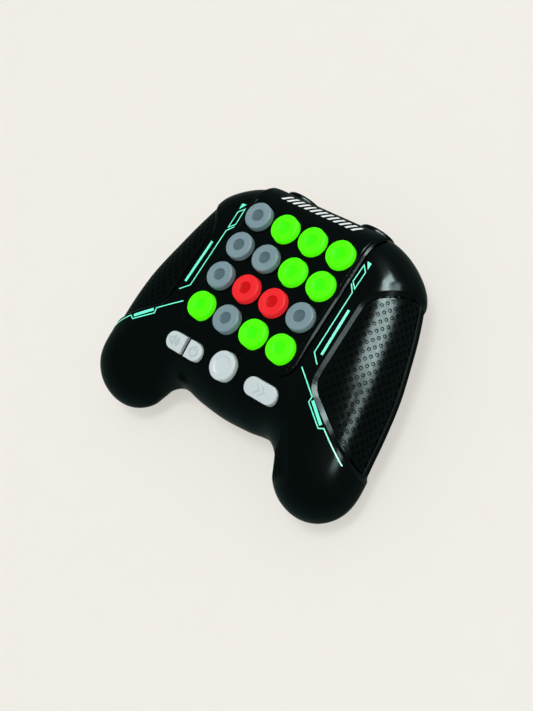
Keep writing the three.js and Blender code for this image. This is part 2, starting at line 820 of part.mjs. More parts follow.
addPiece("sound_button", flangedButton((grow) => halfPillShape(soundFrom, soundTo, -1, grow)), 0xcfd9d9, 0.5);
addPiece("power_button", flangedButton((grow) => halfPillShape(powerFrom, powerTo, 1, grow)), 0xcfd9d9, 0.5);
addPiece("mode_button", flangedButton((grow) => pillShape(modeFrom, modeTo, grow)), 0xcfd9d9, 0.5);
const startProfile = [
  [0, flangeBottomW],
  [startRadius + flangeOverhang, flangeBottomW],
  [startRadius + flangeOverhang, flangeTopW],
  [startRadius, flangeTopW],
  [startRadius, startRise - startDishDepth],
  [startRadius - startDishDepth, startRise],
  [startDishRadius, startRise],
  [startDishRadius - startDishDepth, startRise - startDishDepth],
  [0, startRise - startDishDepth],
];
const startGeometry = turned(startProfile, startSides).translate(startAcross, startForward, 0);
addPiece("start_button", onApron(startGeometry), 0xcfd9d9, 0.5);

// Rubber mats
function lightMatSolid() {
  const half = lightMatHalfWidth;
  let mat = box(-half, half, -half + cutOverlap, half, lightMatTop - matThickness, lightMatTop);
  for (const { x, y } of gridPlaces()) {
    mat = mat.add(post(x, y, lightMatTop - matThickness / 2, lightBumpTop, matBumpRadius, smallSides));
  }
  return mat;
}
addPiece("light_button_mat", lightMatSolid(), 0xb9bdbd, 0.8);

const controlBumpPlaces = [
  [(soundFrom + soundTo) / 2, 0],
  [(powerFrom + powerTo) / 2, 0],
  [startAcross, startForward],
  [(modeFrom + modeTo) / 2, 0],
];

function controlMatSolid() {
  const halfLength = controlMatLength / 2;
  const halfWidth = controlMatWidth / 2;
  const sheet = roundedRectangle(-halfLength, halfLength, -halfWidth, halfWidth, controlBumpRadius);
  let mat = apronPrism(sheet, controlMatTopW - matThickness, controlMatTopW, flatCornerSteps);
  for (const [u, v] of controlBumpPlaces) {
    mat = mat.add(apronPost(u, v, controlMatTopW - matThickness / 2, controlBumpTopW, controlBumpRadius));
  }
  return mat;
}
addPiece("control_button_mat", controlMatSolid(), 0xb9bdbd, 0.8);

// Boards
const boardHoleTop = mainBoardTop + cutOverlap;

function mainBoardSolid() {
  const halfWidth = mainBoardHalfWidth;
  let board = box(-halfWidth, halfWidth, -mainBoardFront, mainBoardRear, mainBoardBottom, mainBoardTop);
  for (const { x, y } of gridPlaces()) {
    const half = ledSide / 2;
    const lamp = box(x - half, x + half, y - half, y + half, mainBoardTop - ledHeight, mainBoardTop + ledHeight);
    board = board.add(lamp);
  }
  for (const y of [-boardPostReach, boardPostReach]) {
    board = board.subtract(
      bothSides((side) => post(side * boardPostX, y, mainBoardBottom - cutOverlap, boardHoleTop, boardHoleRadius)),
    );
  }
  return board;
}
addPiece("main_board", mainBoardSolid(), 0x1e5b36, 0.5);

function controlBoardSolid() {
  const halfLength = controlBoardLength / 2;
  const halfWidth = controlBoardWidth / 2;
  const sheet = roundedRectangle(-halfLength, halfLength, -halfWidth, halfWidth, controlBumpRadius);
  const holeBottom = controlBoardBottomW - cutOverlap;
  const holeTop = controlBoardTopW + cutOverlap;
  const holes = bothSides((side) => apronPost(side * controlPostX, 0, holeBottom, holeTop, boardHoleRadius));
  return apronPrism(sheet, controlBoardBottomW, controlBoardTopW, flatCornerSteps).subtract(holes);
}
addPiece("control_board", controlBoardSolid(), 0x1e5b36, 0.5);

// Screws: the head is below and the shank points up, from the head's seat at 0
function screwGeometry(shankRadius, headRadius, headHeight, length) {
  const rows = [
    [0, -headHeight],
    [headRadius, -headHeight],
    [headRadius, 0],
    [shankRadius, 0],
    [shankRadius, length - shankRadius],
    [0, length],
  ];
  return turned(rows, smallSides);
}

const boardScrew = screwGeometry(
  boardScrewShankRadius,
  boardScrewHeadRadius,
  boardScrewHeadHeight,
  boardThickness + boardScrewBite,
);
const hands = [["left", -1], ["right", 1]];
for (const [place, y] of [["front", -boardPostReach], ["rear", boardPostReach]]) {
  for (const [hand, side] of hands) {
    const screw = addPiece(`board_screw_${place}_${hand}`, boardScrew, 0xb8bcc0, 0.35, 1);
    screw.position.set(side * boardPostX, y, mainBoardBottom - clearance);
  }
}
for (const [hand, side] of hands) {
  const screw = addPiece(`control_screw_${hand}`, boardScrew, 0xb8bcc0, 0.35, 1);
  const seat = new THREE.Vector3(side * controlPostX, 0, controlBoardBottomW - clearance).applyMatrix4(apronFrame);
  screw.position.copy(seat);
  screw.rotation.x = apronTilt;
}
for (const [place, x, y] of shellScrewPlaces) {
  const seat = outerBottomZ(x, y) + bossSeatDepth;
  const length = rimZ(y) + shellScrewBite - seat;
  const shellScrew = screwGeometry(screwShankRadius, screwHeadRadius, screwHeadHeight, length);
  for (const [hand, side] of hands) {
    const screw = addPiece(`shell_screw_${place}_${hand}`, shellScrew, 0xb8bcc0, 0.35, 1);
    screw.position.set(side * x, y, seat - clearance);
  }
}

// Rear knob buttons, turned about Y
const knobProfile = [
  [0, knobFlangeY],
  [knobFlangeRadius, knobFlangeY],
  [knobFlangeRadius, knobFlangeY + flangeThickness],
  [knobStemRadius, knobFlangeY + flangeThickness],
  [knobStemRadius, knobBack],
  [knobRadius, knobBack],
  [knobRadius, knobFace - knobEdge],
  [knobRadius - knobEdge, knobFace],
  [knobDishRadius, knobFace],
  [knobDishRadius - knobDishDepth, knobFace - knobDishDepth],
  [0, knobFace - knobDishDepth],
];
function knobGeometry() {
  const profile = knobProfile.map(([radius, height]) => new THREE.Vector2(radius, height));
  return new THREE.LatheGeometry(profile, bigSides);
}

function switchBoardSolid() {
  const halfWidth = switchBoardWidth / 2;
  const halfHeight = switchBoardHeight / 2;
  const halfSwitch = switchBodySide / 2;
  const back = switchBoardY - controlBoardThickness;
  const board = box(-halfWidth, halfWidth, back, switchBoardY, knobHeight - halfHeight, knobHeight + halfHeight);
  const bodyTop = switchBoardY + switchBodyHeight;
  const housing = box(-halfSwitch, halfSwitch, back, bodyTop, knobHeight - halfSwitch, knobHeight + halfSwitch);
  return board.add(housing).add(rod(0, knobHeight, back, switchTipY, switchPlungerRadius));
}

for (const [hand, side] of hands) {
  addPiece(`${hand}_rear_knob`, knobGeometry(), 0x0a0f0f, 0.35).position.set(side * knobX, 0, knobHeight);
  addPiece(`${hand}_switch_board`, switchBoardSolid(), 0x1e5b36, 0.5).position.x = side * knobX;
}

// Battery door, its screw, cells and contacts
function batteryDoorSolid() {
  const door = batteryBox(doorLedge - clearance, 0, doorThickness, true);
  const sinkTop = doorScrewSink + screwHeadHeight + clearance;
  const sink = post(0, doorScrewY, -cutOverlap, sinkTop, screwHeadRadius + clearance, buttonSides);
  return door.subtract(sink).subtract(post(0, doorScrewY, 0, doorThickness + cutOverlap, screwHoleRadius));
}
addPiece("battery_door", batteryDoorSolid(), 0x0a0f0f, 0.45);
const doorScrewLength = doorThickness - doorScrewSink - screwHeadHeight + doorScrewBite;
const doorScrew = screwGeometry(screwShankRadius, screwHeadRadius, screwHeadHeight, doorScrewLength);
const doorScrewPiece = addPiece("battery_door_screw", doorScrew, 0xb8bcc0, 0.35, 1);
doorScrewPiece.position.set(0, doorScrewY, doorScrewSink + screwHeadHeight);

const cellProfile = [
  [0, -cellLength / 2],
  [cellRadius, -cellLength / 2],
  [cellRadius, cellLength / 2 - cellNubLength],
  [cellNubRadius, cellLength / 2 - cellNubLength],
  [cellNubRadius, cellLength / 2],
  [0, cellLength / 2],
];
const cellPlaces = Array.from({ length: cellCount }, (_, i) => {
  return batteryCentreY + (i - (cellCount - 1) / 2) * cellPitch;
});
cellPlaces.forEach((y, i) => {
  const cell = addPiece(`battery_cell_${i + 1}`, turned(cellProfile, buttonSides), 0xc9a24a, 0.4, 0.3);
  cell.rotation.y = (i % 2 === 0 ? 1 : -1) * (Math.PI / 2);
  cell.position.set(0, y, cellHeight);
});

function contactSolid(side, from, to) {
  const tip = cellLength / 2 + clearance;
  const plate = tip + contactSpringLength;
  const half = cellRadius - batterySideRoom;
  const [low, high] = [side * plate, side * (plate + contactThickness)].sort((a, b) => a - b);
  const sheet = box(low, high, from - half, to + half, cellHeight - half, cellHeight + half);
  const length = contactSpringLength + contactThickness / 2;
  const springs = [...new Set([from, to])].map((y) => {
    const geometry = new THREE.CylinderGeometry(contactSpringRadius, contactSpringRadius, length, smallSides);
    return toSolid(geometry.rotateZ(Math.PI / 2).translate(side * (tip + length / 2), y, cellHeight));
  });
  return springs.reduce((sum, spring) => sum.add(spring), sheet);
}
const [frontCell, middleCell, rearCell] = cellPlaces;
addPiece("battery_contact_left_pair", contactSolid(-1, frontCell, middleCell), 0xb8bcc0, 0.3, 1);
addPiece("battery_contact_left_single", contactSolid(-1, rearCell, rearCell), 0xb8bcc0, 0.3, 1);
addPiece("battery_contact_right_single", contactSolid(1, frontCell, frontCell), 0xb8bcc0, 0.3, 1);
addPiece("battery_contact_right_pair", contactSolid(1, middleCell, rearCell), 0xb8bcc0, 0.3, 1);

// Speaker and leads
function speakerSolid() {
  const basket = post(0, speakerY, speakerBase, speakerBase + speakerHeight, speakerRadius, bigSides);
  const magnetTop = speakerBase + speakerHeight + speakerMagnetHeight;
  return basket.add(post(0, speakerY, speakerBase, magnetTop, speakerMagnetRadius, bigSides));
}
addPiece("speaker", speakerSolid(), 0x2a2c2e, 0.6);

function leadGeometry(points) {
  const path = new THREE.CatmullRomCurve3(points.map(([x, y, z]) => new THREE.Vector3(x, y, z)));
  const section = new THREE.Shape();
  section.absarc(0, 0, leadRadius, 0, 2 * Math.PI);
  return new THREE.ExtrudeGeometry(section, {
    steps: leadSteps,
    curveSegments: leadSideSteps,
    bevelEnabled: false,
    extrudePath: path,
  });
}
const batteryLeadX = batteryHalfLength - leadSpread;
const leadTop = mainBoardBottom - clearance;
const batteryLeads = [
  ["battery_lead_black", -batteryLeadX, 0x151515],
  ["battery_lead_red", batteryLeadX, 0xb01818],
];
for (const [name, x, color] of batteryLeads) {
  const low = batteryTop + clearance;
  const middle = (low + leadTop) / 2;
  const points = [
    [x, batteryCentreY, low],
    [x, batteryCentreY, low + leadSpread],
    [x * leadMiddleShare, batteryCentreY - leadSpread, middle],
    [x * leadTopShare, batteryCentreY - leadSpread, leadTop - leadSpread],
    [x * leadTopShare, batteryCentreY - leadSpread, leadTop],
  ];
  addPiece(name, leadGeometry(points), color, 0.6);
}
const speakerTop = speakerBase + speakerHeight + clearance;
const speakerLeadX = speakerMagnetRadius + leadSpread / 2;
const speakerLeadPoints = [
  [speakerLeadX, speakerY, speakerTop],
  [speakerLeadX, speakerY, speakerTop + leadSpread],
  [speakerLeadX, speakerY + leadSpread, (speakerTop + leadTop) / 2],
  [speakerLeadX, -mainBoardFront + leadSpread, leadTop - leadSpread],
  [speakerLeadX, -mainBoardFront + leadSpread, leadTop],
];
addPiece("speaker_lead", leadGeometry(speakerLeadPoints), 0x8a1c1c, 0.6);

// The origin goes under the middle of the whole, on the floor
const wholeFront = handleCentreY - handleRadius;
game.position.y = -(wholeFront + knobFace) / 2;

export default game;
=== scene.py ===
import math

import bmesh
import bpy
import numpy as np
from mathutils import Matrix, Vector


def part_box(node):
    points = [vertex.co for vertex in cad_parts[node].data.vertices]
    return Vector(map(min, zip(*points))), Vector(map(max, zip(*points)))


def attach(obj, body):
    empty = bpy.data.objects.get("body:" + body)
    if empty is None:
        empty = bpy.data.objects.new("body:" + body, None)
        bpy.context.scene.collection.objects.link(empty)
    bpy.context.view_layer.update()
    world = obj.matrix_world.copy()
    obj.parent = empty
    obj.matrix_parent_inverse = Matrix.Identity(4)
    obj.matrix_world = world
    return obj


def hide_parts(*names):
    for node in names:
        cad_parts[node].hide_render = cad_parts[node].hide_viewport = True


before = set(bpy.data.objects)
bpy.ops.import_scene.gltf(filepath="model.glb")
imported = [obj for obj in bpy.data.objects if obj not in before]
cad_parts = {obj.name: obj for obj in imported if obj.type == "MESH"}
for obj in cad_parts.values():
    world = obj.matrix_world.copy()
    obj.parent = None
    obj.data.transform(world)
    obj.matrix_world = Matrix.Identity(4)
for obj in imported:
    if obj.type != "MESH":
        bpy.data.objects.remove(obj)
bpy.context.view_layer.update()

scene = bpy.context.scene

# Everything is modelled in millimetres about the middle of the button field, and put in place at the end
placing = {"unit": 0.001, "fieldY": 17.8}
toFrame = Matrix.Scale(placing["unit"], 4) @ Matrix.Translation((0, placing["fieldY"], 0))
housing = "housing"


# Colours and nodes
def colour(text):
    parts = [int(text[i:i + 2], 16) / 255 for i in (0, 2, 4)]
    return (*[c / 12.92 if c <= 0.04045 else ((c + 0.055) / 1.055) ** 2.4 for c in parts], 1)


def addNode(tree, kind, settings=None, inputs=None, links=None):
    node = tree.nodes.new(kind)
    for name, value in (settings or {}).items():
        setattr(node, name, value)
    for name, value in (inputs or {}).items():
        node.inputs[name].default_value = value
    for name, source in (links or {}).items():
        tree.links.new(source, node.inputs[name])
    return node


def newMaterial(name):
    material = bpy.data.materials.new(name)
    material.use_nodes = True
    tree = material.node_tree
    tree.nodes.clear()
    place = addNode(tree, "ShaderNodeTexCoord").outputs["Object"]
    return material, tree, place


def endMaterial(tree, surface):
    addNode(tree, "ShaderNodeOutputMaterial", links={"Surface": surface})


# Two close colours in soft patches: the pattern and the colour it gives
def patched(tree, place, colours, scale, detail):
    noise = addNode(
        tree, "ShaderNodeTexNoise", inputs={"Scale": scale, "Detail": detail}, links={"Vector": place}
    )
    shade = addNode(tree, "ShaderNodeValToRGB", links={"Fac": noise.outputs["Fac"]})
    for element, text in zip(shade.color_ramp.elements, colours):
        element.color = colour(text)
    return noise.outputs["Fac"], shade.outputs["Color"]


# A moulded surface: patches of two colours, a roughness that wanders with them, and a fine eroded grain in mm
def moulded(name, colours, roughness, grain, relief, gloss=0.5, **sockets):
    material, tree, place = newMaterial(name)
    pattern, shade = patched(tree, place, colours, 90.0, 3.0)
    rub = addNode(
        tree, "ShaderNodeMapRange", links={"Value": pattern},
        inputs={"From Min": 0.3, "From Max": 0.7, "To Min": roughness[0], "To Max": roughness[1]},
    )
    grains = addNode(
        tree, "ShaderNodeTexNoise", links={"Vector": place},
        inputs={"Scale": 1 / (grain * placing["unit"]), "Detail": 2.0},
    )
    bump = addNode(
        tree, "ShaderNodeBump", links={"Height": grains.outputs["Fac"]},
        inputs={"Strength": relief, "Distance": 0.05 * placing["unit"]},
    )
    skin = addNode(
        tree, "ShaderNodeBsdfPrincipled", inputs={"Specular IOR Level": gloss, **sockets},
        links={"Base Color": shade, "Roughness": rub.outputs["Result"], "Normal": bump.outputs["Normal"]},
    )
    endMaterial(tree, skin.outputs["BSDF"])
    return material


# A lit key: bright diffusing plastic with a little light of its own from the lamp behind it
def litPlastic(name, colours, glow, strength):
    material, tree, place = newMaterial(name)
    pattern, shade = patched(tree, place, colours, 160.0, 2.0)
    rub = addNode(
        tree, "ShaderNodeMapRange", inputs={"To Min": 0.38, "To Max": 0.5}, links={"Value": pattern}
    )
    skin = addNode(
        tree, "ShaderNodeBsdfPrincipled", links={"Base Color": shade, "Roughness": rub.outputs["Result"]},
        inputs={"Emission Color": colour(glow), "Emission Strength": strength, "Specular IOR Level": 0.02},
    )
    endMaterial(tree, skin.outputs["BSDF"])
    return material


print("materials")
# The black mouldings carry a thin clear skin whose tint turns their reflections a little teal
tealSkin = {"Coat Weight": 1.0, "Coat IOR": 1.03, "Coat Roughness": 0.3, "Coat Tint": colour("8eb0ae")}
# Gloss ABS of the housing from a polished tool: nearly black, and the lamps show in it as soft bands
blackAbs = moulded("glossBlackAbs", ("020404", "060a0a"), (0.16, 0.22), 0.5, 0.04, 0.1, **tealSkin)
# Piano-black ABS of the panel around the keys, a little smoother than the housing
panelAbs = moulded("polishedPanelAbs", ("020404", "05090a"), (0.16, 0.2), 0.6, 0.03, 0.1, **tealSkin)
# Grip inserts in thermoplastic rubber: a fine eroded grain breaks the edge of the lamp's band into specks
gripRubber = moulded("grainedGripRubber", ("030505", "070a0a"), (0.15, 0.21), 0.35, 0.35, 0.11, **tealSkin)
# The walls of the grip's pits: the same rubber, matt, a shade darker and with no reflection at all, painted
# shade that makes the pits read as dark rings
pitShadeRubber = moulded("mattPitRubberPaintedShade", ("020404", "050808"), (0.55, 0.65), 0.35, 0.3, 0.0)
# Underside of the housing: the same ABS from an eroded, duller tool half
dullAbs = moulded("erodedBlackAbs", ("070b0b", "0b1010"), (0.4, 0.5), 0.4, 0.4, 0.1, **tealSkin)
# Translucent light keys with their lamp off: cool grey polycarbonate with a satin touch, darker in the dimple
greyKey = moulded("unlitGreyKey", ("778e95", "829aa1"), (0.4, 0.48), 0.4, 0.15, 0.04)
greyDimple = moulded("unlitGreyDimple", ("4e656d", "576f76"), (0.42, 0.5), 0.4, 0.15, 0.04)
# White control keys in satin polycarbonate
whiteKey = moulded("satinWhiteKey", ("c6d1d3", "d0dadc"), (0.42, 0.5), 0.4, 0.15, 0.06)
# Raised symbols on the white keys: the same plastic painted a shade greyer, a painted shade that stands in
# for the shade gathered at their raised edges
shadedMarkWhite = moulded("paintedShadeWhitePlastic", ("b0bcbe", "bac5c7"), (0.5, 0.6), 0.3, 0.1, 0.04)
# Pad-printed ink of the lines in mint green, and of the rear ticks in white
# The mint ink also gives off a faint light of its own, a painted glow that lifts its brightness
mintInkPaintedGlow = {"Emission Color": colour("5feac6"), "Emission Strength": 0.25}
mintInk = moulded("mintLineInk", ("58e8c2", "66f2cf"), (0.35, 0.45), 0.3, 0.1, **mintInkPaintedGlow)
whiteInk = moulded("whiteTickInk", ("e4eaea", "eff3f3"), (0.4, 0.5), 0.3, 0.1)
# Inside: matt silicone, green board laminate, plated steel, shrink wrap, a dull speaker frame and PVC leads
matSilicone = moulded("greySilicone", ("b2b7b7", "c0c4c4"), (0.6, 0.75), 0.5, 0.2)
boardLaminate = moulded("greenLaminate", ("17492b", "1f5f39"), (0.35, 0.5), 0.8, 0.2)
screwSteel = moulded("zincPlatedSteel", ("a9adb2", "c2c6ca"), (0.25, 0.4), 0.3, 0.2, Metallic=1.0)
contactSteel = moulded("nickelContactSteel", ("b4b6b4", "c9cac6"), (0.2, 0.35), 0.4, 0.15, Metallic=1.0)
cellWrapper = moulded("cellWrapper", ("b98f38", "cda548"), (0.25, 0.4), 0.5, 0.1)
speakerBody = moulded("speakerFrame", ("222426", "303335"), (0.5, 0.65), 0.5, 0.3)
leadBlack = moulded("blackLeadPvc", ("101112", "1a1b1c"), (0.4, 0.5), 0.4, 0.2)
leadRed = moulded("redLeadPvc", ("9c1414", "b41c1c"), (0.4, 0.5), 0.4, 0.2)
# Lit keys, and their dimples, which look deeper in colour
greenKey = litPlastic("litGreenKey", ("2aa200", "36b404"), "50f80a", 0.75)
greenDimple = litPlastic("litGreenDimple", ("22a800", "2cb602"), "3cf806", 0.75)
redKey = litPlastic("litRedKey", ("b41a1e", "c02226"), "ee2a2f", 0.5)
redDimple = litPlastic("litRedDimple", ("9a080b", "a60c10"), "c40c10", 0.5)


# Mesh helpers
def moveBy(bm, matrix):
    bmesh.ops.transform(bm, matrix=matrix, verts=bm.verts)


def turnOutward(bm):
    bmesh.ops.recalc_face_normals(bm, faces=bm.faces)


def addPiece(name, bm, materials, body=housing, nodes=(), wall=0, crease=32, thin=None):
    limit = math.radians(crease)
    wallShares = None if thin is None else thin(np.array([vert.co[:] for vert in bm.verts]))
    for face in bm.faces:
        face.smooth = True
    for edge in bm.edges:
        edge.smooth = len(edge.link_faces) == 2 and edge.calc_face_angle(0) < limit
    moveBy(bm, toFrame)
    mesh = bpy.data.meshes.new(name)
    bm.to_mesh(mesh)
    bm.free()
    for material in materials:
        mesh.materials.append(material)
    piece = bpy.data.objects.new(name, mesh)
    scene.collection.objects.link(piece)
    if wall:
        solid = piece.modifiers.new("wall", "SOLIDIFY")
        solid.thickness = wall * placing["unit"]
        solid.offset = -1
        if wallShares is not None:
            group = piece.vertex_groups.new(name="wallShare")
            for index, share in enumerate(wallShares):
                group.add([index], float(share), "REPLACE")
            solid.vertex_group = group.name
            solid.thickness_vertex_group = 0.02
        even = piece.modifiers.new("evenShading", "WEIGHTED_NORMAL")
        even.keep_sharp = True
    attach(piece, body)
    if nodes:
        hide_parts(*nodes)


def mirrorX(bm):
    moveBy(bm, Matrix.Diagonal((-1, 1, 1, 1)))
    bmesh.ops.reverse_faces(bm, faces=bm.faces)


# What an operator made of one kind
def newItems(result, kind):
    return [item for item in result["geom"] if isinstance(item, kind)]


def newVerts(result):
    return newItems(result, bmesh.types.BMVert)


def middleOf(face):
    return face.calc_center_median()


def removeFaces(bm, faces):
    bmesh.ops.delete(bm, geom=list(faces), context="FACES")


def cutThrough(bm, point, normal, **options):
    geom = [*bm.verts, *bm.edges, *bm.faces]
    bmesh.ops.bisect_plane(bm, geom=geom, plane_co=point, plane_no=normal, **options)


# Pulls faces out to a copy of themselves, moved by a height, with walls around it
def raised(bm, faces, height):
    made = bmesh.ops.extrude_face_region(bm, geom=faces)
    bmesh.ops.translate(bm, vec=(0, 0, height), verts=newVerts(made))
    return made


def outlineFace(bm, line, height=0.0):
    return bm.faces.new([bm.verts.new((x, y, height)) for x, y in line])


# A straight-sided body over an outline
def prismOf(line, low, high):
    bm = bmesh.new()
    raised(bm, [outlineFace(bm, line, low)], high - low)
    turnOutward(bm)
    return bm


def bevelled(bm, edges, offset, segments):
    bmesh.ops.bevel(
        bm, geom=edges, offset=offset, affect="EDGES", segments=segments, profile=0.5, material=-1
    )


def isInside(line, places):
    u, v = places[:, 0][:, None], places[:, 1][:, None]
    a = np.array(line, float)
    b = np.roll(a, -1, 0)
    spans = (a[:, 1] > v) != (b[:, 1] > v)
    cut = (b[:, 0] - a[:, 0]) * (v - a[:, 1]) / (b[:, 1] - a[:, 1] + 1e-12) + a[:, 0]
    return (spans & (u < cut)).sum(1) % 2 == 1


def facesInside(bm, line, axes=(0, 1)):
    faces = list(bm.faces)
    centres = np.array([middleOf(face)[:] for face in faces])[:, axes]
    return [face for face, within in zip(faces, isInside(line, centres)) if within]


def cutFaces(bm, faces, point, normal, **options):
    edges = {edge for face in faces for edge in face.edges}
    verts = {vert for face in faces for vert in face.verts}
    geom = [*verts, *edges, *faces]
    return bmesh.ops.bisect_plane(bm, geom=geom, plane_co=point, plane_no=normal, **options)


# The faces whose extent along both axes comes within a margin of that of the points
def facesAlong(faces, points, axes, margin=0.05):
    spans = [
        (axis, min(point[k] for point in points) - margin, max(point[k] for point in points) + margin)
        for k, axis in enumerate(axes)
    ]
    return [
        face for face in faces if face.is_valid and all(
            max(v.co[axis] for v in face.verts) >= low and min(v.co[axis] for v in face.verts) <= high
            for axis, low, high in spans
        )
    ]


# Cuts the edges of an outline into a sheet, seen along one axis, so that what lies within can be moved
def imprint(bm, line, axes=(0, 1), where=lambda face: True):
    i, j = axes
    line = [Vector(point) for point in line]
    near = set(facesAlong([face for face in bm.faces if where(face)], line, axes))
    for a, b in zip(line, line[1:] + line[:1]):
        step = b - a
        local = facesAlong(near, (a, b), axes)
        if step.length < 1e-4 or not local:
            continue
        point, normal = Vector((0, 0, 0)), Vector((0, 0, 0))
        point[i], point[j] = a
        normal[i], normal[j] = -step[1], step[0]
        made = cutFaces(bm, local, point, normal.normalized(), dist=1e-4)
        near = {face for face in near if face.is_valid} | set(newItems(made, bmesh.types.BMFace))


# Body surface, as heights over the plan that round over towards the rim
body = {
    "halfWidth": 77.6,
    "rearReach": 44,
    "frontReach": 61.5,
    "handle": (56.5, -60.6, 20.3),
    "handleTurn": (-168, -8, 7),
    "crotch": (28.3, 59.2),
    "crotchBend": 0.62,
    "topHeight": 43.8,
    "rimHeight": 22,
    "rimSlope": 0.085,
    "rimRound": 20,
    "rearRound": 15,
    "bellyHeight": 5,
    "handleBottom": 0.3,
    "apronStart": 27,
    "apronBlend": 3,
    "apronSlope": 0.14,
    "core": (28, -26, 14),
    "wall": 2.2,
    "partingGap": 0.3,
    "clearance": 0.3,
    "trim": 0.27,
    "rimSteps": 360,
    "edgeRings": 18,
    "innerRings": 9,
    "apronCuts": (-46, -13, 2.0),
}
# Points of the side from the handle to the rear: shares of the half width and of the way along
sideShares = [
    (0.976, 0.18), (0.962, 0.29), (0.935, 0.427), (0.89, 0.56), (0.837, 0.694),
    (0.777, 0.809), (0.727, 0.877), (0.598, 0.952), (0.438, 0.997), (0.232, 1),
]


def bodyOutline():
    handleX, handleY, radius = body["handle"]
    crotchX, crotchReach = body["crotch"]
    front = body["frontReach"]
    bend = -crotchReach - (front - crotchReach) * body["crotchBend"]
    right = [(0, -front), (crotchX / 2, bend), (crotchX, -crotchReach)]
    for angle in np.radians(np.linspace(*body["handleTurn"])):
        right.append((handleX + radius * math.cos(angle), handleY + radius * math.sin(angle)))
    for across, along in sideShares:
        right.append((across * body["halfWidth"], handleY + along * (body["rearReach"] - handleY)))
    right.append((0, body["rearReach"]))
    return right + [(-x, y) for x, y in reversed(right[1:-1])]


# A smooth closed curve through the points, given as evenly spaced places
def closedCurve(points, count):
    points = np.array(points, float)
    dense, density = [], 24
    for i in range(len(points)):
        p = [points[(i + k - 1) % len(points)] for k in range(4)]
        t = [0.0]
        for k in range(3):
            t.append(t[-1] + math.sqrt(np.linalg.norm(p[k + 1] - p[k])))
        for now in np.linspace(t[1], t[2], density, endpoint=False):
            a = [((t[k + 1] - now) * p[k] + (now - t[k]) * p[k + 1]) / (t[k + 1] - t[k]) for k in range(3)]
            b = [((t[k + 2] - now) * a[k] + (now - t[k]) * a[k + 1]) / (t[k + 2] - t[k]) for k in range(2)]
            dense.append(((t[2] - now) * b[0] + (now - t[1]) * b[1]) / (t[2] - t[1]))
    closed = np.array(dense + dense[:1])
    run = np.r_[0, np.cumsum(np.linalg.norm(np.diff(closed, axis=0), axis=1))]
    marks = np.linspace(0, run[-1], count, endpoint=False)
    return np.c_[np.interp(marks, run, closed[:, 0]), np.interp(marks, run, closed[:, 1])]


def pulledIn(line, depth):
    step = np.roll(line, -1, 0) - np.roll(line, 1, 0)
    step /= np.linalg.norm(step, axis=1)[:, None]
    return line + depth * np.c_[-step[:, 1], step[:, 0]]


rim = pulledIn(closedCurve(bodyOutline(), body["rimSteps"]), body["trim"])


# Distance in from the rim, and the way inwards
def rimDistance(places):
    step = np.roll(rim, -1, 0) - rim
    distances, inward = np.zeros(len(places)), np.zeros((len(places), 2))
    batch = 3000
    for first in range(0, len(places), batch):
        part = places[first:first + batch]
        away = part[:, None, :] - rim[None]
        share = np.clip((away * step).sum(2) / (step * step).sum(1), 0, 1)
        gap = away - share[..., None] * step
        length = np.sqrt((gap ** 2).sum(2))
        nearest = length.argmin(1)
        row = np.arange(len(part))
        least = length[row, nearest]
        direction = gap[row, nearest] / np.maximum(least, 1e-9)[:, None]
        side = step[nearest] / np.linalg.norm(step[nearest], axis=1)[:, None]
        flat = np.c_[-side[:, 1], side[:, 0]]
        direction = np.where((least < 0.05)[:, None], flat, direction)
        distances[first:first + batch], inward[first:first + batch] = least, direction
    return distances, inward


def smoothShare(low, high, value):
    share = np.clip((value - low) / (high - low), 0, 1)
    return share * share * (3 - 2 * share)


def rimZ(y):
    return body["rimHeight"] + body["rimSlope"] * y


# Full heights of the top and the underside before the rim rounds them over
def topZ(x, y):
    blend = body["apronBlend"]
    ahead = (-body["apronStart"] - y) / blend
    return body["topHeight"] - body["apronSlope"] * blend * np.log1p(np.exp(ahead))


def bottomZ(x, y):
    handleX, handleY, radius = body["handle"]
    across = smoothShare(body["core"][0], handleX - radius / 2, np.abs(x))
    along = smoothShare(0, -handleY, -y)
    return body["bellyHeight"] + (body["handleBottom"] - body["bellyHeight"]) * across * along


# Radius of the rim's rounding, which is smaller behind the panel
def roundAt(x, y):
    rearward = smoothShare(0, body["rearReach"] - body["rearRound"], y)
    middle = 1 - smoothShare(panel["halfWidth"], body["halfWidth"], np.abs(x))
    return body["rimRound"] + (body["rearRound"] - body["rimRound"]) * rearward * middle


# Points of the surface over places in plan, moved out by an offset along the normals
def bodyPoints(places, upper=True, offset=0.0):
    x, y = places[:, 0], places[:, 1]
    distance, inward = rimDistance(places)
    radius = roundAt(x, y)
    share = 1 - np.clip(distance / radius, 0, 1)
    height = np.sqrt(1 - share * share)
    full = topZ if upper else bottomZ
    rise = full(x, y) - rimZ(y)
    near = 0.05
    slopeX = (full(x + near, y) - full(x - near, y)) / (2 * near) * height
    slopeY = (full(x, y + near) - full(x, y - near)) / (2 * near) * height + body["rimSlope"] * (1 - height)
    lean = rise * share / radius
    normal = np.c_[-(slopeX * height + lean * inward[:, 0]), -(slopeY * height + lean * inward[:, 1]), height]
    normal /= np.linalg.norm(normal, axis=1)[:, None]
    if not upper:
        normal = -normal
    points = np.c_[x, y, rimZ(y) + rise * height]
    return points + normal * np.reshape(offset, (-1, 1)), normal


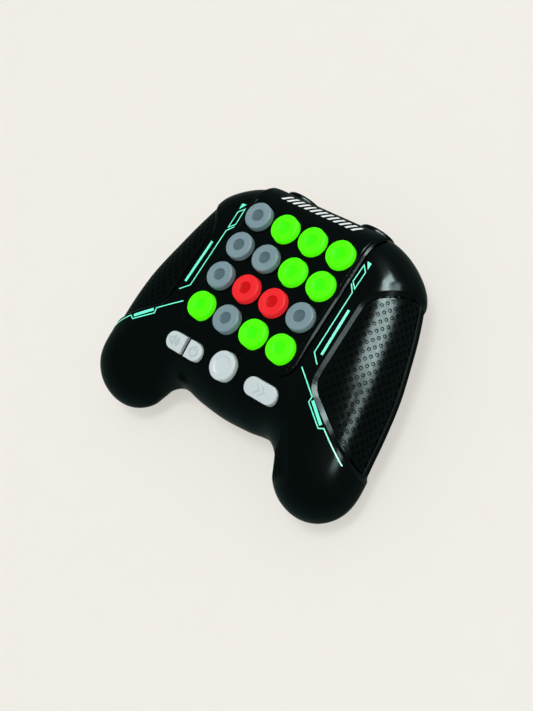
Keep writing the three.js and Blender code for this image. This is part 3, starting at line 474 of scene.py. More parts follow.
# Rows of places from the rim inwards, at even turns of the rounding and then evenly up to the core
def ringRows(steps, innerSteps):
    coreX, coreFront, coreRear = body["core"]
    core = np.c_[np.clip(rim[:, 0], -coreX, coreX), np.clip(rim[:, 1], coreFront, coreRear)]
    marks = 160
    shares = np.linspace(0, 1, marks + 1)
    march = rim[:, None] + (core - rim)[:, None] * shares[None, :, None]
    depth = rimDistance(march.reshape(-1, 2))[0].reshape(len(rim), -1)
    depth[:, 0] = 0
    reached = np.maximum.accumulate(depth, axis=1)
    radius = roundAt(rim[:, 0], rim[:, 1])
    who = np.arange(len(rim))
    rows = []
    for j in range(steps + 1):
        wanted = radius * (1 - math.cos(j / steps * math.pi / 2))
        high = np.clip((reached < wanted[:, None]).sum(1), 1, marks)
        low, top = reached[who, high - 1], reached[who, high]
        share = np.clip((wanted - low) / np.maximum(top - low, 1e-9), 0, 1)
        rows.append(rim + (core - rim) * ((high - 1 + share) / marks)[:, None])
    last = rows[-1]
    for j in range(1, innerSteps + 1):
        rows.append(last + (core - last) * j / innerSteps)
    return rows


# An open sheet over the whole plan: the rim is drawn in ring by ring, then the middle is filled
def bodySheet(upper=True):
    bm = bmesh.new()
    place = bm.verts.layers.int.new("place")
    rows = ringRows(body["edgeRings"], body["innerRings"])
    ring = [bm.verts.new((x, y, 0)) for x, y in rows[0]]
    for i, vert in enumerate(ring):
        vert[place] = i
    edges = [bm.edges.new((a, b)) for a, b in zip(ring, ring[1:] + ring[:1])]
    for row in rows[1:]:
        made = bmesh.ops.extrude_edge_only(bm, edges=edges)
        verts = set(newVerts(made))
        for vert in verts:
            x, y = row[vert[place]]
            vert.co = (x, y, 0)
        edges = [edge for edge in newItems(made, bmesh.types.BMEdge) if all(v in verts for v in edge.verts)]
    bmesh.ops.remove_doubles(bm, verts=bm.verts, dist=0.01)
    coreX, coreFront, coreRear = body["core"]
    border = [
        edge for edge in bm.edges if len(edge.link_faces) == 1 and all(
            abs(vert.co.x) < coreX + 1 and coreFront - 1 < vert.co.y < coreRear + 1 for vert in edge.verts
        )
    ]
    bmesh.ops.contextual_create(bm, geom=border)
    bmesh.ops.dissolve_degenerate(bm, edges=bm.edges, dist=0.005)
    if upper:
        for y in np.arange(*body["apronCuts"]):
            cutThrough(bm, (0, y, 0), (0, 1, 0))
    turnOutward(bm)
    if (sum(face.normal.z * face.calc_area() for face in bm.faces) > 0) != upper:
        bmesh.ops.reverse_faces(bm, faces=bm.faces)
    return bm


# Lifts a flat sheet onto the body's surface, moved out by an offset that depends on the place
def settle(bm, upper, offset):
    verts = list(bm.verts)
    places = np.array([vert.co[:2] for vert in verts])
    gap = body["partingGap"] / 2
    for vert, point in zip(verts, bodyPoints(places, upper, offset(places))[0]):
        edge = rimZ(point[1])
        vert.co = point
        vert.co.z = max(point[2], edge + gap) if upper else min(point[2], edge - gap)
    bm.normal_update()


# Moves the faces of a region straight in along the surface and walls the step
def sink(bm, faces, depth, upper=True):
    verts = newVerts(raised(bm, faces, 0))
    normals = bodyPoints(np.array([vert.co[:2] for vert in verts]), upper)[1]
    for vert, normal in zip(verts, normals):
        vert.co -= Vector(normal) * depth
    removeFaces(bm, faces)


def lineDistance(line, places):
    a = np.array(line, float)
    step = np.roll(a, -1, 0) - a
    away = places[:, None, :] - a[None]
    share = np.clip((away * step).sum(2) / np.maximum((step * step).sum(1), 1e-9), 0, 1)
    return np.sqrt(((away - share[..., None] * step) ** 2).sum(2)).min(1)


def rectangle(left, front, right, rear):
    return [(left, front), (right, front), (right, rear), (left, rear)]


def roundedOutline(corners, radius, steps=8):
    line = []
    for k, corner in enumerate(corners):
        corner = Vector(corner)
        back = (Vector(corners[k - 1]) - corner).normalized()
        ahead = (Vector(corners[(k + 1) % len(corners)]) - corner).normalized()
        size = radius[k] if isinstance(radius, (list, tuple)) else radius
        if size <= 0:
            line.append(tuple(corner))
            continue
        half = back.angle(ahead) / 2
        run = size / math.tan(half)
        middle = corner + (back + ahead).normalized() * (size / math.sin(half))
        first, last = corner + back * run - middle, corner + ahead * run - middle
        turn = first.angle_signed(last)
        line += [tuple(middle + Matrix.Rotation(-turn * i / steps, 2) @ first) for i in range(steps + 1)]
    return line


def circle(x, y, radius, steps=40):
    return [
        (x + radius * math.cos(2 * math.pi * i / steps), y + radius * math.sin(2 * math.pi * i / steps))
        for i in range(steps)
    ]


def arc(u, v, radius, start, end, steps=14):
    angles = np.radians(np.linspace(start, end, steps + 1))
    return [(u + radius * math.cos(a), v + radius * math.sin(a)) for a in angles]


# Panel around the light keys
panel = {
    "halfWidth": 33.9,
    "front": -34.2,
    "corner": 7,
    "rise": 1.4,
    "thickness": 1.6,
    "wrapHeight": 36.2,
    "edgeWidth": 0.9,
    "edgeDrop": 0.6,
    "edgeCurve": 1.6,
    "rearRun": 6,
    "grooveInset": 2.3,
    "grooveWidth": 0.22,
    "grooveDepth": 0.12,
    "openingHalf": 31.8,
    "ledgeDepth": 1.4,
    "ledgeRegion": (36, 20),
    "holeRim": 0.25,
    "holeRimDrop": 0.2,
}


def panelLine(grow=0.0):
    half, rear = panel["halfWidth"] + grow, body["rearReach"] + panel["rearRun"]
    corners = rectangle(-half, panel["front"] - grow, half, rear)
    return roundedOutline(corners, [panel["corner"] + grow] * 2 + [0, 0])


# Light keys
lightKey = {
    "count": 4,
    "pitch": 16,
    "radius": 6.55,
    "top": 48,
    "chamfer": 0.45,
    "dimpleRadius": 2.85,
    "dimpleDepth": 0.5,
    "dimpleSlope": 0.25,
    "bevel": 0.18,
    "flangeRadius": 7.35,
    "flange": (41.4, 42.4),
    "rows": ("eggg", "eegg", "erre", "gegg"),
}


# The middle of a light key, counted from the rear row and from the player's left
def keyPlace(r, c):
    middle = (lightKey["count"] - 1) / 2
    return (c - middle) * lightKey["pitch"], (middle - r) * lightKey["pitch"]


# Control keys, in the tilted plane of the apron: u to the right, v up the slope, w out of it
apronKeys = {
    "reach": 43.3,
    "width": 8.55,
    "rise": 1.25,
    "sound": (-33.6, -23.05),
    "power": (-20.75, -11.85),
    "mode": (15.45, 33.3),
    "start": (1.4, 1.1, 6.8),
    "startRise": 2.3,
    "startEdge": (0.5, 0.6),
    "startBevel": 0.25,
    "dishRadius": 4.5,
    "dishDepth": 0.7,
    "flange": (-4.3, -3.3),
    "flangeGrow": 0.8,
    "overlap": 0.1,
    "edge": 0.45,
    "ribFoot": -3,
    "ribDrop": 0.5,
    "ribEdge": 0.3,
    "symbolRise": 0.24,
    "symbolWidth": 0.46,
    "symbolScale": 1.22,
    "soundShift": -0.8,
}
apronTilt = math.atan(body["apronSlope"])
apronMiddle = (0, -apronKeys["reach"], float(topZ(0, -apronKeys["reach"])))
apronFrame = Matrix.Translation(apronMiddle) @ Matrix.Rotation(apronTilt, 4, "X")


def pillLine(low, high, grow=0.0, roundLow=True, roundHigh=True):
    radius = apronKeys["width"] / 2 + grow
    right = arc(high + grow - radius, 0, radius, -90, 90) if roundHigh else [(high, -radius), (high, radius)]
    left = arc(low - grow + radius, 0, radius, 90, 270) if roundLow else [(low, radius), (low, -radius)]
    return right + left


def apronPlan(line):
    return [tuple((apronFrame @ Vector((u, v, 0)))[:2]) for u, v in line]


# Side grips
grip = {
    "innerX": 45.6,
    "rearInner": 11.8,
    "rearOuter": (62, 26.8),
    "frontInner": -29.7,
    "frontOuter": (75, -50),
    "corner": 6,
    "sink": 1.1,
    "thickness": 1.0,
    "lowHeight": 9,
    "lowFade": 2.4,
    "outerReach": 12,
    "cornerSteps": 8,
    "band": (1.65, 1.9, 1.5),
    "floorDepth": 1.4,
    "pitRow": 2.7,
    "pitColumn": 3.35,
    "pitTurn": 50,
    "pitRings": ((0.92, 0), (0.72, -0.16), (0.48, -0.26)),
    "pitMargin": 1.5,
    "gridSize": 84,
    "gridMiddle": (36, -10),
    "gridBounds": ((-2, 76), (-62, 40)),
    "gridInset": 0.2,
    "slopeStep": 0.3,
    "strayBelow": (50, 20),
}


# Outline of a grip in plan, grown inwards, to the rear and to the front; it runs out beyond the body's side
def gripLine(side, growIn, growRear, growFront):
    innerX, outer = grip["innerX"], body["halfWidth"] + grip["outerReach"]

    def ends(inner, outerPoint, grow):
        run = (outerPoint[1] - inner) / (outerPoint[0] - innerX)
        return Vector((innerX - growIn, inner + grow)), Vector((outer, inner + grow + run * (outer - innerX)))

    front, frontOut = ends(grip["frontInner"], grip["frontOuter"], -growFront)
    rear, rearOut = ends(grip["rearInner"], grip["rearOuter"], growRear)
    line = []
    for corner, before, after in ((front, rear, frontOut), (rear, rearOut, front)):
        a = corner + (before - corner).normalized() * grip["corner"]
        b = corner + (after - corner).normalized() * grip["corner"]
        for i in range(grip["cornerSteps"] + 1):
            t = i / grip["cornerSteps"]
            line.append(tuple(a * (1 - t) ** 2 + corner * 2 * t * (1 - t) + b * t * t))
        if corner is front:
            line += [tuple(frontOut), tuple(rearOut)]
    return [(side * x, y) for x, y in line]


def gripEdges(side):
    clear = body["clearance"]
    inner = gripLine(side, clear, clear, clear)
    outer = gripLine(side, *[clear + width for width in grip["band"]])
    return inner, outer


gripLines = [gripEdges(side) for side in (1, -1)]


# How far the shell's surface drops beside and under the grips
def gripDrop(places):
    drop = np.zeros(len(places))
    for inner, outer in gripLines:
        within, banded = isInside(inner, places), isInside(outer, places)
        toInner, toOuter = lineDistance(inner, places), lineDistance(outer, places)
        share = toOuter / np.maximum(toInner + toOuter, 1e-9)
        share = np.where(toInner < 0.02, 1, np.where(toOuter < 0.02, 0, share))
        beside = np.where(banded | (toInner < 0.02), -grip["sink"] * share, drop)
        drop = np.where(within, -grip["sink"], beside)
    return drop


knob = {
    "x": 21.8,
    "height": 25.5,
    "radius": 8.8,
    "face": 45.3,
    "thickness": 3,
    "edge": 0.9,
    "bevel": 0.22,
    "dishRadius": 6.2,
    "dishDepth": 0.6,
    "stemRadius": 3.2,
    "flangeRadius": 4.6,
    "flangeY": 36.2,
    "flangeThickness": 1,
    "socketBack": 40.0,
    "socketFloor": 2.5,
    "socketWall": 2.2,
    "socketMouth": 41.6,
    "thinReach": 5.0,
    "rearStart": 30,
}


# Turns a shape made along the upright axis to face the rear, at one of the knobs
def knobPlace(side):
    return Matrix.Translation((side * knob["x"], 0, knob["height"])) @ Matrix.Rotation(-math.pi / 2, 4, "X")


print("housing shells")
clear = body["clearance"]


def isAtRear(face):
    return middleOf(face).y > knob["rearStart"]


# The last cuts of a shell, after which the points that no face holds go
def cutKnobHoles(bm):
    for side in (1, -1):
        hole = circle(side * knob["x"], knob["height"], knob["radius"] + clear, 48)
        imprint(bm, hole, (0, 2), isAtRear)
        removeFaces(bm, filter(isAtRear, facesInside(bm, hole, (0, 2))))
    bmesh.ops.delete(bm, geom=[v for v in bm.verts if not v.link_faces], context="VERTS")
    return bm


# The wall is built square to the surface and the knobs move straight in, so it thins out towards their holes
def thinAtKnobs(points):
    toAxis = np.hypot(np.abs(points[:, 0]) - knob["x"], points[:, 2] - knob["height"])
    share = np.clip((toAxis - knob["radius"] - clear) / knob["thinReach"], 0, 1)
    return np.where(points[:, 1] > knob["rearStart"], share, 1.0)


# A sheet with the edges of the grips' seats drawn on it
def shellSheet(upper):
    bm = bodySheet(upper)
    for inner, outer in gripLines:
        imprint(bm, outer)
        imprint(bm, inner)
    return bm


def cutOpenings(bm, openings):
    for opening in openings:
        imprint(bm, opening)
    for opening in openings:
        removeFaces(bm, facesInside(bm, opening))


def topShell():
    bm = shellSheet(True)
    imprint(bm, panelLine(clear))
    half = panel["openingHalf"]
    startU, startV, startRadius = apronKeys["start"]
    cutOpenings(bm, [
        roundedOutline(rectangle(-half, -half, half, half), panel["corner"]),
        apronPlan(pillLine(apronKeys["sound"][0], apronKeys["power"][1], clear)),
        apronPlan(pillLine(*apronKeys["mode"], clear)),
        apronPlan(circle(startU, startV, startRadius + clear)),
    ])
    settle(bm, True, gripDrop)
    wrap = panel["wrapHeight"] - clear
    across, along = panel["ledgeRegion"]
    rear = [face for face in bm.faces if middleOf(face).y > along and abs(middleOf(face).x) < across]
    cutFaces(bm, rear, (0, 0, wrap), (0, 0, 1))
    ledge = [face for face in facesInside(bm, panelLine(clear)) if middleOf(face).z > wrap]
    sink(bm, ledge, panel["ledgeDepth"])
    for inner, _ in gripLines:
        sink(bm, facesInside(bm, inner), grip["floorDepth"])
    return cutKnobHoles(bm)


addPiece(
    "topShell", topShell(), [blackAbs], nodes=["top_shell"], wall=body["wall"],
    crease=20, thin=thinAtKnobs,
)


# Underside
under = {
    "slots": 5,
    "slotPitch": 3.4,
    "slotWidth": 1.6,
    "slotLength": 15,
    "slotRound": 0.98,
    "speakerY": -37,
    "screws": ((46, 28), (43.6, -18), (56.8, -60.5)),
    "screwHole": 2.9,
    "wellWall": 1.4,
    "wellStart": 0.6,
    "headHeight": 1.9,
    "seatThickness": 1,
    "shank": 1.6,
}


def bottomShell():
    bm = shellSheet(False)
    halfWide, halfLong = under["slotWidth"] / 2, under["slotLength"] / 2
    openings = []
    for k in range(under["slots"]):
        x, y = (k - (under["slots"] - 1) / 2) * under["slotPitch"], under["speakerY"]
        slot = rectangle(x - halfWide, y - halfLong, x + halfWide, y + halfLong)
        openings.append(roundedOutline(slot, halfWide * under["slotRound"], 5))
    for x, y in under["screws"]:
        openings += [circle(side * x, y, under["screwHole"], 28) for side in (1, -1)]
    cutOpenings(bm, openings)
    low = grip["lowHeight"] - clear

    def drop(places):
        heights = bodyPoints(places, False)[0][:, 2]
        return gripDrop(places) * smoothShare(low - grip["lowFade"], low, heights)

    settle(bm, False, drop)
    cutThrough(bm, (0, 0, low), (0, 0, 1))
    for inner, _ in gripLines:
        seat = [face for face in facesInside(bm, inner) if middleOf(face).z > low]
        sink(bm, seat, grip["floorDepth"], False)
    return cutKnobHoles(bm)


addPiece(
    "bottomShell", bottomShell(), [dullAbs], nodes=["bottom_shell"], wall=body["wall"],
    thin=thinAtKnobs,
)


# A turned shape: rows of radius and height are spun about an upright axis
def turned(rows, steps, bevel=0.0, bevelSegments=2, limit=30):
    bm = bmesh.new()
    verts = [bm.verts.new((radius, 0, height)) for radius, height in rows]
    edges = [bm.edges.new(pair) for pair in zip(verts, verts[1:])]
    bmesh.ops.spin(
        bm, geom=[*verts, *edges], cent=(0, 0, 0), axis=(0, 0, 1), angle=2 * math.pi, steps=steps,
        use_merge=True,
    )
    bmesh.ops.remove_doubles(bm, verts=bm.verts, dist=0.001)
    turnOutward(bm)
    if bevel:
        sharp = [e for e in bm.edges if len(e.link_faces) == 2 and e.calc_face_angle(0) > math.radians(limit)]
        bevelled(bm, sharp, bevel, bevelSegments)
    return bm


# A sleeve with a floor that has a hole in it: heights of the floor's two sides and of the open end
def sleeve(hole, bore, outer, floorOut, floorIn, mouth, steps):
    rows = [
        (bore, mouth), (bore, floorIn), (hole, floorIn), (hole, floorOut), (outer, floorOut), (outer, mouth),
    ]
    return turned([*rows, rows[0]], steps)


print("screw wells")
for name in [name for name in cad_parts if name.startswith("shell_screw")]:
    low, high = [[value / placing["unit"] for value in corner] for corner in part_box(name)]
    x, y = (low[0] + high[0]) / 2, (low[1] + high[1]) / 2 - placing["fieldY"]
    foot = float(bodyPoints(np.array([[x, y]]), False)[0][0, 2]) + under["wellStart"]
    seat, bore = low[2] + under["headHeight"], under["screwHole"]
    well = sleeve(
        under["shank"], bore, bore + under["wellWall"], seat + under["seatThickness"], seat, foot, 32
    )
    moveBy(well, Matrix.Translation((x, y, 0)))
    addPiece(f"{name}_well".replace("shell_screw", "shell"), well, [dullAbs])

print("knob sockets")
for hand, side in (("left", -1), ("right", 1)):
    bore, floor = knob["radius"] + clear, knob["socketBack"] - knob["socketFloor"]
    socket = sleeve(
        knob["stemRadius"] + clear, bore, bore + knob["socketWall"], floor, knob["socketBack"],
        knob["socketMouth"], 48,
    )
    moveBy(socket, knobPlace(side))
    addPiece(f"{hand}KnobSocket", socket, [dullAbs])

print("panel")


def panelSheet():
    bm = bodySheet(True)
    line = panelLine()
    imprint(bm, line)
    removeFaces(bm, set(bm.faces) - set(facesInside(bm, line)))
    imprint(bm, panelLine(-panel["edgeWidth"]))
    groove = panel["halfWidth"] - panel["grooveInset"]
    for x in (groove - panel["grooveWidth"], groove, groove + panel["grooveWidth"]):
        for side in (1, -1):
            cutThrough(bm, (side * x, 0, 0), (1, 0, 0))
    places = [keyPlace(r, c) for r in reversed(range(lightKey["count"])) for c in range(lightKey["count"])]
    holeRadius = lightKey["radius"] + clear
    for x, y in places:
        hole = circle(x, y, holeRadius)
        imprint(bm, hole)
        removeFaces(bm, facesInside(bm, hole))
        imprint(bm, circle(x, y, holeRadius + panel["holeRim"]))

    def rise(spots):
        level = np.full(len(spots), panel["rise"])
        toEdge = lineDistance(line, spots)
        level -= panel["edgeDrop"] * np.clip(1 - toEdge / panel["edgeWidth"], 0, 1) ** panel["edgeCurve"]
        level -= panel["grooveDepth"] * (np.abs(np.abs(spots[:, 0]) - groove) < 0.01)
        for x, y in places:
            onRim = np.hypot(spots[:, 0] - x, spots[:, 1] - y) < holeRadius + 0.03
            level -= panel["holeRimDrop"] * onRim
        return level

    settle(bm, True, rise)
    for height in (panel["wrapHeight"] + panel["edgeWidth"], panel["wrapHeight"]):
        cutThrough(bm, (0, 0, height), (0, 0, 1))
    removeFaces(bm, [face for face in bm.faces if middleOf(face).z < panel["wrapHeight"]])
    return bm


addPiece(
    "buttonPanel", panelSheet(), [panelAbs], nodes=["button_panel"],
    wall=panel["thickness"],
)

print("grips")


# Section of the side at each depth, as a table that turns surface runs into points. An arc is spaced so that
# its points lie close together at the rim
sideGrid = {
    "depths": (-66, 44, 111),
    "runs": (0, 78, 157),
    "rimReach": 4,
    "rimStart": 30,
    "innerX": 38,
    "arcPoints": 60,
}


def sideTable():
    ys, runs = np.linspace(*sideGrid["depths"]), np.linspace(*sideGrid["runs"])
    table = np.zeros((len(ys), len(runs), 3))
    count = sideGrid["arcPoints"]
    arcShare = 1 - np.cos(np.linspace(0, math.pi / 2, count))
    for row, y in enumerate(ys):
        right = rim[(np.abs(rim[:, 1] - y) < sideGrid["rimReach"]) & (rim[:, 0] > sideGrid["rimStart"])]
        order = np.argsort(right[:, 1])
        edge = np.interp(y, right[order, 1], right[order, 0])
        inward = arcShare * (edge - sideGrid["innerX"])
        top = bodyPoints(np.c_[edge - inward[::-1], np.full(count, y)], True)[0]
        low = bodyPoints(np.c_[edge - inward[1:], np.full(count - 1, y)], False)[0]
        section = np.vstack([top, low])
        run = np.r_[0, np.cumsum(np.linalg.norm(np.diff(section, axis=0), axis=1))]
        for axis in range(3):
            table[row, :, axis] = np.interp(runs, run, section[:, axis])
    return ys, runs, table


sideYs, sideRuns, sidePoints = sideTable()


def onSide(places):
    u, v = places[:, 0], places[:, 1]
    row = np.clip((v - sideYs[0]) / (sideYs[1] - sideYs[0]), 0, len(sideYs) - 1.001)
    column = np.clip((u - sideRuns[0]) / (sideRuns[1] - sideRuns[0]), 0, len(sideRuns) - 1.001)
    r, c = row.astype(int), column.astype(int)
    fr, fc = (row - r)[:, None], (column - c)[:, None]
    low = sidePoints[r, c] * (1 - fc) + sidePoints[r, c + 1] * fc
    high = sidePoints[r + 1, c] * (1 - fc) + sidePoints[r + 1, c + 1] * fc
    return low * (1 - fr) + high * fr


def gripInsert():
    bm = bmesh.new()
    steps = (grip["pitRow"], grip["pitColumn"])
    counts = [int(2 * grip["gridSize"] / step) for step in steps]
    bmesh.ops.create_grid(bm, x_segments=counts[0], y_segments=counts[1], size=1)
    bmesh.ops.scale(bm, vec=(*[count * step / 2 for count, step in zip(counts, steps)], 1), verts=bm.verts)
    turn = Matrix.Rotation(math.radians(grip["pitTurn"]), 4, "Z")
    moveBy(bm, Matrix.Translation((*grip["gridMiddle"], 0)) @ turn)
    (lowX, highX), (lowY, highY) = grip["gridBounds"]
    removeFaces(bm, [
        face for face in bm.faces
        if not (lowX < middleOf(face).x < highX and lowY < middleOf(face).y < highY)
    ])
    for edge in list(bm.edges):
        bmesh.utils.edge_split(edge, edge.verts[0], 0.5)
    line = gripLine(1, 0, 0, 0)
    spots = onSide(np.array([middleOf(face)[:2] for face in bm.faces]))
    clearOfEdge = isInside(line, spots[:, :2]) & (lineDistance(line, spots[:, :2]) > grip["pitMargin"])
    clearOfEdge &= spots[:, 2] > grip["lowHeight"] + grip["pitMargin"]
    cells = [face for face, held in zip(list(bm.faces), clearOfEdge) if held]
    for radius, depth in grip["pitRings"]:
        ring = bmesh.ops.inset_individual(bm, faces=cells, thickness=grip["gridInset"])
        # Faces of the pits' walls take the darker rubber without reflection, painted shade
        for face in ring["faces"]:
            face.material_index = 1 if depth < 0 else 0
        for face in cells:
            middle = middleOf(face)
            for vert in face.verts:
                arm = vert.co - middle
                arm.z = 0
                vert.co = middle + arm.normalized() * radius
                vert.co.z = depth
    verts = list(bm.verts)
    flat = np.array([vert.co[:] for vert in verts])
    alongU, alongV = [
        onSide(flat[:, :2] + step) - onSide(flat[:, :2] - step) for step in np.eye(2) * grip["slopeStep"]
    ]
    normal = np.cross(alongU, alongV)
    normal /= np.maximum(np.linalg.norm(normal, axis=1), 1e-9)[:, None]
    points = onSide(flat[:, :2]) + normal * (flat[:, 2] - grip["sink"])[:, None]
    for vert, point in zip(verts, points):
        vert.co = point
    imprint(bm, line)
    removeFaces(bm, set(bm.faces) - set(facesInside(bm, line)))
    cutThrough(bm, (0, 0, grip["lowHeight"]), (0, 0, 1), clear_inner=True)
    # What the plan outline also holds of the underside goes
    strayX, strayZ = grip["strayBelow"]
    removeFaces(bm, [face for face in bm.faces if middleOf(face).x < strayX and middleOf(face).z < strayZ])
    bmesh.ops.remove_doubles(bm, verts=bm.verts, dist=0.02)
    bmesh.ops.dissolve_degenerate(bm, edges=bm.edges, dist=0.01)
    bm.normal_update()
    return bm


for hand in ("right", "left"):
    sheet = gripInsert()
    if hand == "left":
        mirrorX(sheet)
    addPiece(
        f"{hand}Grip", sheet, [gripRubber, pitShadeRubber], nodes=[f"{hand}_grip"],
        wall=grip["thickness"], crease=22,
    )

print("light keys")
finishes = {
    "g": (greenKey, greenDimple, "key_green"),
    "r": (redKey, redDimple, "key_red"),
    "e": (greyKey, greyDimple, "key_grey"),
}
top, radius, chamfer = lightKey["top"], lightKey["radius"], lightKey["chamfer"]
low, high = lightKey["flange"]
hollow, bottom = lightKey["dimpleRadius"], lightKey["top"] - lightKey["dimpleDepth"]
rows = [
    (0, low), (lightKey["flangeRadius"], low), (lightKey["flangeRadius"], high), (radius, high),
    (radius, top - chamfer), (radius - chamfer, top), (hollow, top),
    (hollow - lightKey["dimpleSlope"], bottom), (0, bottom),
]
for r, finishRow in enumerate(lightKey["rows"]):
    for c, finish in enumerate(finishRow):
        ring, dimple, slot = finishes[finish]
        key = turned(rows, 48, lightKey["bevel"])
        for face in key.faces:
            middle = middleOf(face)
            if math.hypot(middle.x, middle.y) < hollow - 0.02 and middle.z > bottom - 0.2:
                face.material_index = 1
        moveBy(key, Matrix.Translation((*keyPlace(r, c), 0)))
        node = f"light_button_r{r + 1}c{c + 1}"
        addPiece(f"lightKeyR{r + 1}C{c + 1}", key, [ring, dimple], f"{node}_body", [node])

print("control keys")


def joined(first, second):
    mesh = bpy.data.meshes.new("part")
    second.to_mesh(mesh)
    first.from_mesh(mesh)
    bpy.data.meshes.remove(mesh)
    second.free()
    return first


# A key of the apron: a flange under the shell and a cap with softened upper edges
def raisedKey(lineAt):
    low, high = apronKeys["flange"]
    cap = prismOf(lineAt(0.0), high - apronKeys["overlap"], apronKeys["rise"])
    edges = [e for e in cap.edges if all(v.co.z > apronKeys["rise"] - 0.01 for v in e.verts)]
    bevelled(cap, edges, apronKeys["edge"], 4)
    return joined(prismOf(lineAt(apronKeys["flangeGrow"]), low, high), cap)


# A flat stroke of even width along a line of points, raised a little
def stroke(points, width, low, high, closed=False):
    bm = bmesh.new()
    points = [Vector(point) for point in points]
    total = len(points)
    sides = []
    for k, point in enumerate(points):
        before = points[k - 1] if closed or k else point
        after = points[(k + 1) % total] if closed or k < total - 1 else point
        ways = [way.normalized() for way in (point - before, after - point) if way.length > 1e-6]
        across = sum((Vector((-way.y, way.x)) for way in ways), Vector((0, 0))).normalized()
        reach = width / 2 / max(across.dot(Vector((-ways[0].y, ways[0].x))), 0.35)
        sides.append([bm.verts.new((*(point + across * s * reach), low)) for s in (1, -1)])
    pairs = zip(sides, sides[1:] + (sides[:1] if closed else []))
    raised(bm, [bm.faces.new((a[0], a[1], b[1], b[0])) for a, b in pairs], high - low)
    turnOutward(bm)
    return bm


# The symbols about the middle of their key: lines of points, and whether they close
symbols = {
    "sound": [
        ([(-1.9, 0.7), (-1, 0.7), (0.2, 1.7), (0.2, -1.7), (-1, -0.7), (-1.9, -0.7)], True),
        (arc(0.3, 0, 1.3, -48, 48, 13), False),
        (arc(0.3, 0, 2.2, -48, 48, 13), False),
    ],
    "power": [(arc(0, -0.1, 1.75, 125, 415, 23), False), ([(0, 0.2), (0, 2.2)], False)],
    "mode": [([(-2, 1.9), (-0.2, 0), (-2, -1.9)], False), ([(0.3, 1.9), (2.1, 0), (0.3, -1.9)], False)],
}
keyLines = {
    "sound": lambda grow: pillLine(*apronKeys["sound"], grow, roundHigh=False),
    "power": lambda grow: pillLine(*apronKeys["power"], grow, roundLow=False),
    "mode": lambda grow: pillLine(*apronKeys["mode"], grow),
}
rise, scale = apronKeys["rise"], apronKeys["symbolScale"]
markFoot, markTop = rise - apronKeys["overlap"], rise + apronKeys["symbolRise"]
for name, lineAt in keyLines.items():
    key = raisedKey(lineAt)
    middle = sum(apronKeys[name]) / 2 + (apronKeys["soundShift"] if name == "sound" else 0)
    for points, closed in symbols[name]:
        points = [(middle + u * scale, v * scale) for u, v in points]
        mark = stroke(points, apronKeys["symbolWidth"], markFoot, markTop, closed)
        # The symbols take the greyer white, painted shade for their raised edges
        for face in mark.faces:
            face.material_index = 1
        joined(key, mark)
    moveBy(key, apronFrame)
    addPiece(f"{name}Key", key, [whiteKey, shadedMarkWhite], f"{name}_button_body", [f"{name}_button"])

# The rib of the shell between the halves of the split pill
ribLow, ribHigh = apronKeys["sound"][1] + clear, apronKeys["power"][0] - clear
ribLong = apronKeys["width"] / 2 + 1
rib = prismOf(rectangle(ribLow, -ribLong, ribHigh, ribLong), apronKeys["ribFoot"], -apronKeys["ribDrop"])
top = [e for e in rib.edges if all(v.co.z > apronKeys["ribFoot"] / 2 for v in e.verts)]
bevelled(rib, top, apronKeys["ribEdge"], 2)
moveBy(rib, apronFrame)
addPiece("keyRib", rib, [blackAbs])

startU, startV, radius = apronKeys["start"]
low, high = apronKeys["flange"]
rise, dish = apronKeys["startRise"], apronKeys["dishRadius"]
edgeIn, edgeDown = apronKeys["startEdge"]
flange, dishDepth = radius + apronKeys["flangeGrow"], apronKeys["dishDepth"]
rows = [
    (0, low), (flange, low), (flange, high), (radius, high), (radius, rise - edgeDown),
    (radius - edgeIn, rise), (dish, rise), (dish - dishDepth, rise - dishDepth), (0, rise - dishDepth),
]
key = turned(rows, 64, apronKeys["startBevel"], bevelSegments=3, limit=20)
moveBy(key, apronFrame @ Matrix.Translation((startU, startV, 0)))
addPiece("startKey", key, [whiteKey], "start_button_body", ["start_button"])

print("rear knobs")
radius, face, edge = knob["radius"], knob["face"], knob["edge"]
back, dish, dishDepth = face - knob["thickness"], knob["dishRadius"], knob["dishDepth"]
flange, low, high = knob["flangeRadius"], knob["flangeY"], knob["flangeY"] + knob["flangeThickness"]
rows = [
    (0, low), (flange, low), (flange, high), (knob["stemRadius"], high), (knob["stemRadius"], back),
    (radius, back), (radius, face - edge), (radius - edge, face), (dish, face),
    (dish - dishDepth, face - dishDepth), (0, face - dishDepth),
]
for hand, side in (("left", -1), ("right", 1)):
    cap = turned(rows, 72, knob["bevel"], limit=25)
    moveBy(cap, knobPlace(side))
    node = f"{hand}_rear_knob"
    addPiece(f"{hand}RearKnob", cap, [blackAbs], f"{node}_body", [node])

print("line work")
# Lines of the right half in plan: points, width, and whether they close
lines = {
    "height": 0.1,
    "thickness": 0.14,
    "spacing": 1.5,
    "strokes": (
        ([(35.2, 25.1), (37.8, 22.4), (37.6, 14.0), (34.9, 16.7)], 0.45, True),
        ([(34.8, 15.5), (37.6, 12.1), (37.7, -18.0), (42.0, -22.0)], 0.5, False),
        ([(40.9, 4.7), (41.35, -17.5)], 1.25, False),
        (
            [(36.2, -25.9), (47.8, -34.7), (47.5, -37.2), (57.4, -44.6), (59.6, -43.5), (71.4, -52.4)],
            0.5, False,
        ),
        ([(48.9, -35.9), (57.7, -42.9)], 1.35, False),
    ),
    "arrow": [(35.7, 27.2), (38.1, 26.9), (38.1, 23.8)],
}


# Cuts a flat drawing into small faces and lays it on the body's top
def layOnBody(bm, spacing, offset):
    for axis in (0, 1):
        reach = [vert.co[axis] for vert in bm.verts]
        for at in np.arange(math.ceil(min(reach) / spacing) * spacing, max(reach), spacing):
            cutThrough(bm, [float(at) * (k == axis) for k in range(3)], [float(k == axis) for k in range(3)])
    settle(bm, True, lambda places: np.full(len(places), offset))
    if sum(face.normal.z for face in bm.faces) < 0:
        bmesh.ops.reverse_faces(bm, faces=bm.faces)


